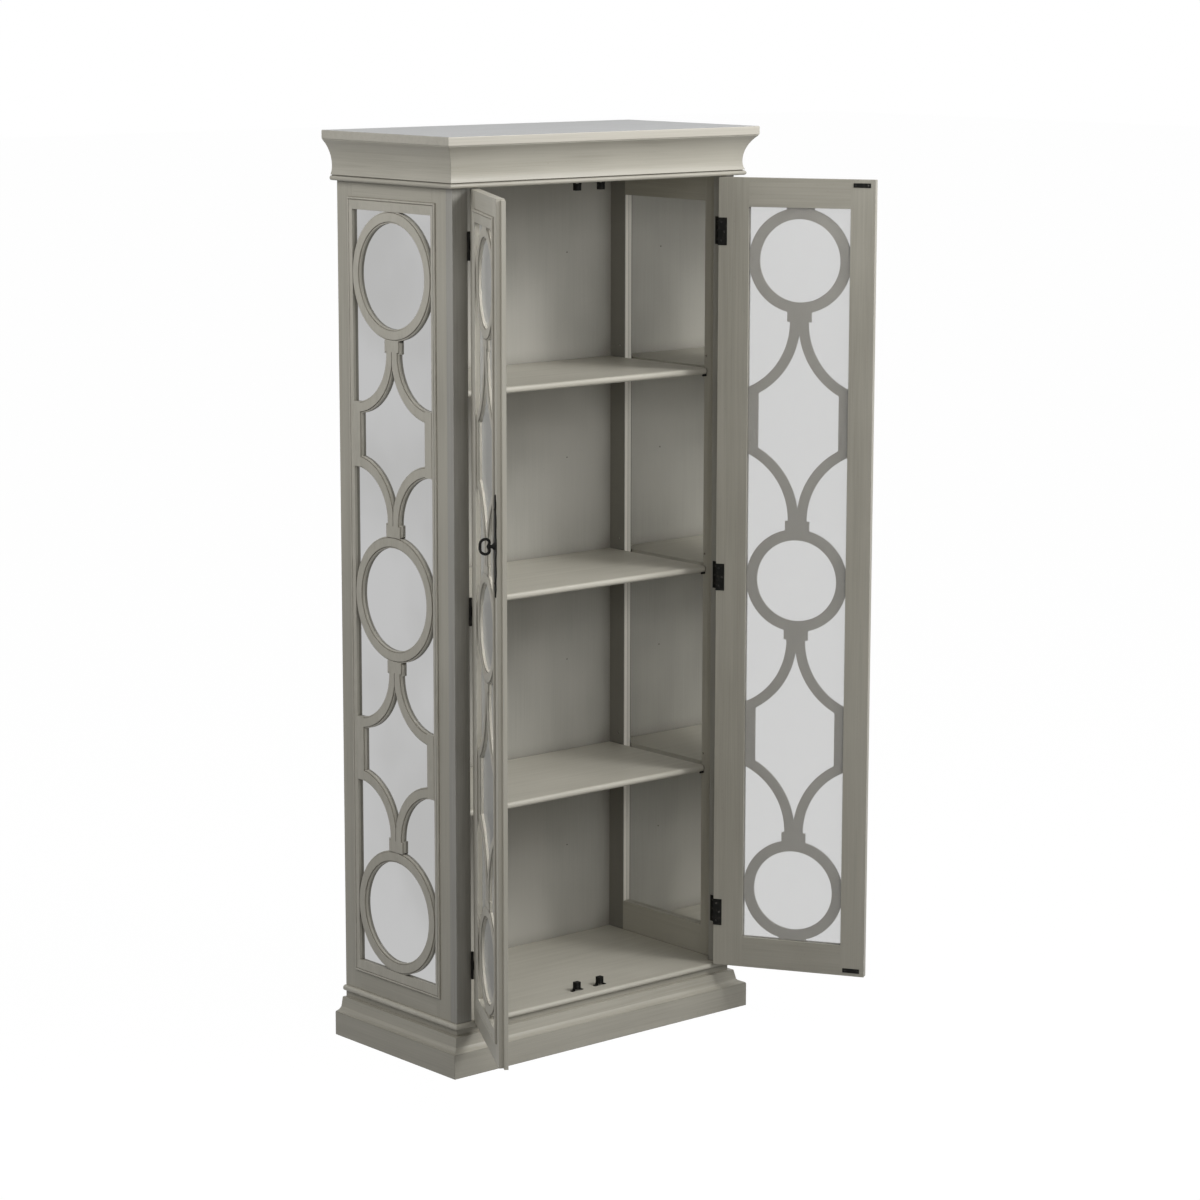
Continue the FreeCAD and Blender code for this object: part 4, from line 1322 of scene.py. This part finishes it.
@dataclass
class Fasteners:
    """Screws in leaves, strikes and catch feet, and the panel's nails."""

    head: float = 0.0024
    proud: float = 0.0005
    flush: float = 0.0002
    leaf_x: float = 0.3570
    leaf_y: float = -0.1712
    leaf_stagger: float = 0.0035
    post_leaf_x: float = 0.3682
    post_leaf_y: float = -0.1830
    hinge_heights: Triple = (1.8465, 1.046208, 0.2435)
    hinge_spread: float = 0.0210
    strike_x: float = 0.0320
    strike_y: float = -0.1708
    strike_spread: float = 0.0150
    strike_heights: Span = (0.1285, 1.9565)
    foot_spread: float = 0.0135
    panel_y: float = 0.2170
    nail_columns: Triple = (-0.254, 0.0, 0.254)
    nail_heights: tuple[float, float, float, float] = (1.778, 1.29, 0.80, 0.34)

    def _screws(self, proud: float, facing: Facing, places: Sequence[Vector]) -> bpy.types.Mesh:
        """Countersunk heads with a sunk centre at several places, all facing one way."""
        r = self.head
        profile = [(r, 0.0), (r * 0.92, proud), (r * 0.42, proud), (r * 0.34, proud * 0.15)]
        return self._scattered(turned(profile, 18), facing, places)

    def _scattered(self, mesh: bpy.types.Mesh, facing: Facing, places: Sequence[Vector]) -> bpy.types.Mesh:
        """Copies of a mesh at several places, all facing one way."""
        return joined([(mesh, Matrix.Translation(place) @ facing.turn()) for place in places])

    def _door_screws(self, way: float) -> bpy.types.Mesh:
        """Screws of one door's leaves and strikes."""
        places: list[Vector] = []
        for z in self.hinge_heights:
            for step in (-1, 0, 1):
                x = self.leaf_x + (-self.leaf_stagger if step == 0 else self.leaf_stagger)
                places.append(Vector((way * x, self.leaf_y, z + step * self.hinge_spread)))
        for z in self.strike_heights:
            for step in (-1, 1):
                x = self.strike_x + step * self.strike_spread
                places.append(Vector((way * x, self.strike_y, z)))
        return self._screws(self.proud, Facing.BACK, places)

    def _post_screws(self, way: float) -> bpy.types.Mesh:
        """Flush screws of the leaves on one post."""
        places = [
            Vector((self.post_leaf_x, self.post_leaf_y, z + step * self.hinge_spread))
            for z in self.hinge_heights
            for step in (-1, 0, 1)
        ]
        mesh = self._screws(self.flush, Facing.LEFT, places)
        return mesh if way > 0 else mirrored(mesh, (1.0, 0.0, 0.0))

    def _foot_screws(self, catches: Catches, facing: Facing, z: float) -> bpy.types.Mesh:
        """Screws in the feet of two catches."""
        places = [
            Vector((side * catches.x + foot * self.foot_spread, catches.y, z))
            for side in (-1, 1)
            for foot in (-1, 1)
        ]
        return self._screws(self.proud, facing, places)

    def _nails(self) -> bpy.types.Mesh:
        """Small round heads in the back panel."""
        nail = turned([(0.0016, 0.0), (0.0015, 0.0003), (0.0006, 0.0005)], 12)
        spots = [Vector((x, self.panel_y, z)) for x in self.nail_columns for z in self.nail_heights]
        return self._scattered(nail, Facing.FRONT, spots)

    def dress(self, finishes: Finishes, catches: Catches) -> None:
        """Adds every group of fasteners."""
        groups = [
            ("right_door_screws", self._door_screws(1.0), Body.RIGHT_DOOR),
            ("left_door_screws", self._door_screws(-1.0), Body.LEFT_DOOR),
            ("right_post_leaf_screws", self._post_screws(1.0), Body.CABINET),
            ("left_post_leaf_screws", self._post_screws(-1.0), Body.CABINET),
        ]
        for word, facing, z in (
            ("lower", Facing.UP, catches.floor_z + catches.strap),
            ("upper", Facing.DOWN, catches.roof_z - catches.strap),
        ):
            screws = self._foot_screws(catches, facing, z)
            groups.append((f"{word}_catch_screws", screws, Body.CABINET))
        groups.append(("back_panel_nails", self._nails(), Body.CABINET))
        for name, mesh, body in groups:
            place_piece(name, mesh, finishes.steel, body)


# Stage.


@dataclass(frozen=True)
class Lamp:
    """A soft square lamp that points at the cabinet's middle line."""

    name: str
    place: Triple
    aim_z: float
    side: float
    watts: float

    def build(self) -> None:
        """Adds the lamp."""
        data = bpy.data.lights.new(self.name, "AREA")
        data.size = self.side
        data.energy = self.watts
        obj = bpy.data.objects.new(self.name, data)
        bpy.context.scene.collection.objects.link(obj)
        obj.location = self.place
        obj.rotation_mode = "QUATERNION"
        way = Vector((0.0, 0.0, self.aim_z)) - Vector(self.place)
        obj.rotation_quaternion = way.to_track_quat("-Z", "Y")


@dataclass
class Studio:
    """Floor, lamps, world and camera."""

    location: Triple = (-5.0330, -6.0679, 2.4188)
    yaw: float = -40.6242
    pitch: float = 10.1776
    roll: float = 0.0936
    lens: float = 104.239
    sensor: float = 36.0
    clip: Span = (0.1, 100.0)
    ambient: float = 0.16
    floor_half: float = 40.0
    lamps: tuple[Lamp, ...] = (
        Lamp("key", (1.9, -3.0, 4.1), 1.5, 1.5, 112.0),
        Lamp("second_key", (1.0, -3.4, 3.3), 1.5, 1.5, 36.0),
        Lamp("front", (-1.8, -4.0, 2.5), 1.5, 1.6, 42.0),
        Lamp("side", (-2.8, 0.5, 3.2), 1.8, 1.5, 39.0),
        Lamp("low_side", (-4.0, -0.6, 2.4), 1.6, 1.8, 13.0),
    )

    def camera(self) -> None:
        """Sets the camera at the photograph's place."""
        data = bpy.data.cameras.new("camera")
        data.sensor_width = self.sensor
        data.lens = self.lens
        data.clip_start, data.clip_end = self.clip
        obj = bpy.data.objects.new("camera", data)
        bpy.context.scene.collection.objects.link(obj)
        a, p = math.radians(self.yaw), math.radians(self.pitch)
        back = Vector((math.sin(a) * math.cos(p), -math.cos(a) * math.cos(p), math.sin(p)))
        right = Vector((math.cos(a), math.sin(a), 0.0))
        up = back.cross(right)
        turn = Matrix((right, up, back)).transposed() @ Matrix.Rotation(math.radians(self.roll), 3, "Z")
        obj.matrix_world = Matrix.Translation(self.location) @ turn.to_4x4()
        bpy.context.scene.camera = obj

    def world(self) -> None:
        """A plain world: white to the eye and in gloss, grey as a light."""
        world = bpy.data.worlds.new("studio")
        bpy.context.scene.world = world
        world.use_nodes = True
        tree = Tree(world.node_tree)
        strength = tree.sight() * (1.0 - self.ambient) + self.ambient
        shade = tree.add("ShaderNodeBackground", {}, {"Color": WHITE, "Strength": strength})
        tree.add("ShaderNodeOutputWorld", {}, {"Surface": shade})

    def floor(self) -> None:
        """A pale floor that goes over into the white background."""
        side = self.floor_half
        bm = bmesh.new()
        bm.faces.new([bm.verts.new((x, y, 0.0)) for x, y in rectangle(-side, side, -side, side)])
        obj = mesh_object("floor", finished(bm, "floor"))
        obj.data.materials.append(PaleFloor("pale_floor").build())

    def build(self) -> None:
        """Builds the stage."""
        self.camera()
        self.world()
        self.floor()
        for lamp in self.lamps:
            lamp.build()
        bpy.context.scene.view_settings.view_transform = "Standard"


def main() -> None:
    """Dresses the frame, adds the pieces and sets the stage."""
    logging.basicConfig(level=logging.INFO, format="%(name)s: %(message)s")
    finishes = Finishes()
    finishes.dress_frame()
    overlays = (DoorFret(), SideFret())
    for overlay in overlays:
        overlay.dress(finishes)
    TrimLines().dress(finishes, overlays)
    KeyPull().dress(finishes)
    catches = Catches()
    catches.dress(finishes)
    Fasteners().dress(finishes, catches)
    Studio().build()


if __name__ == "__main__":
    main()
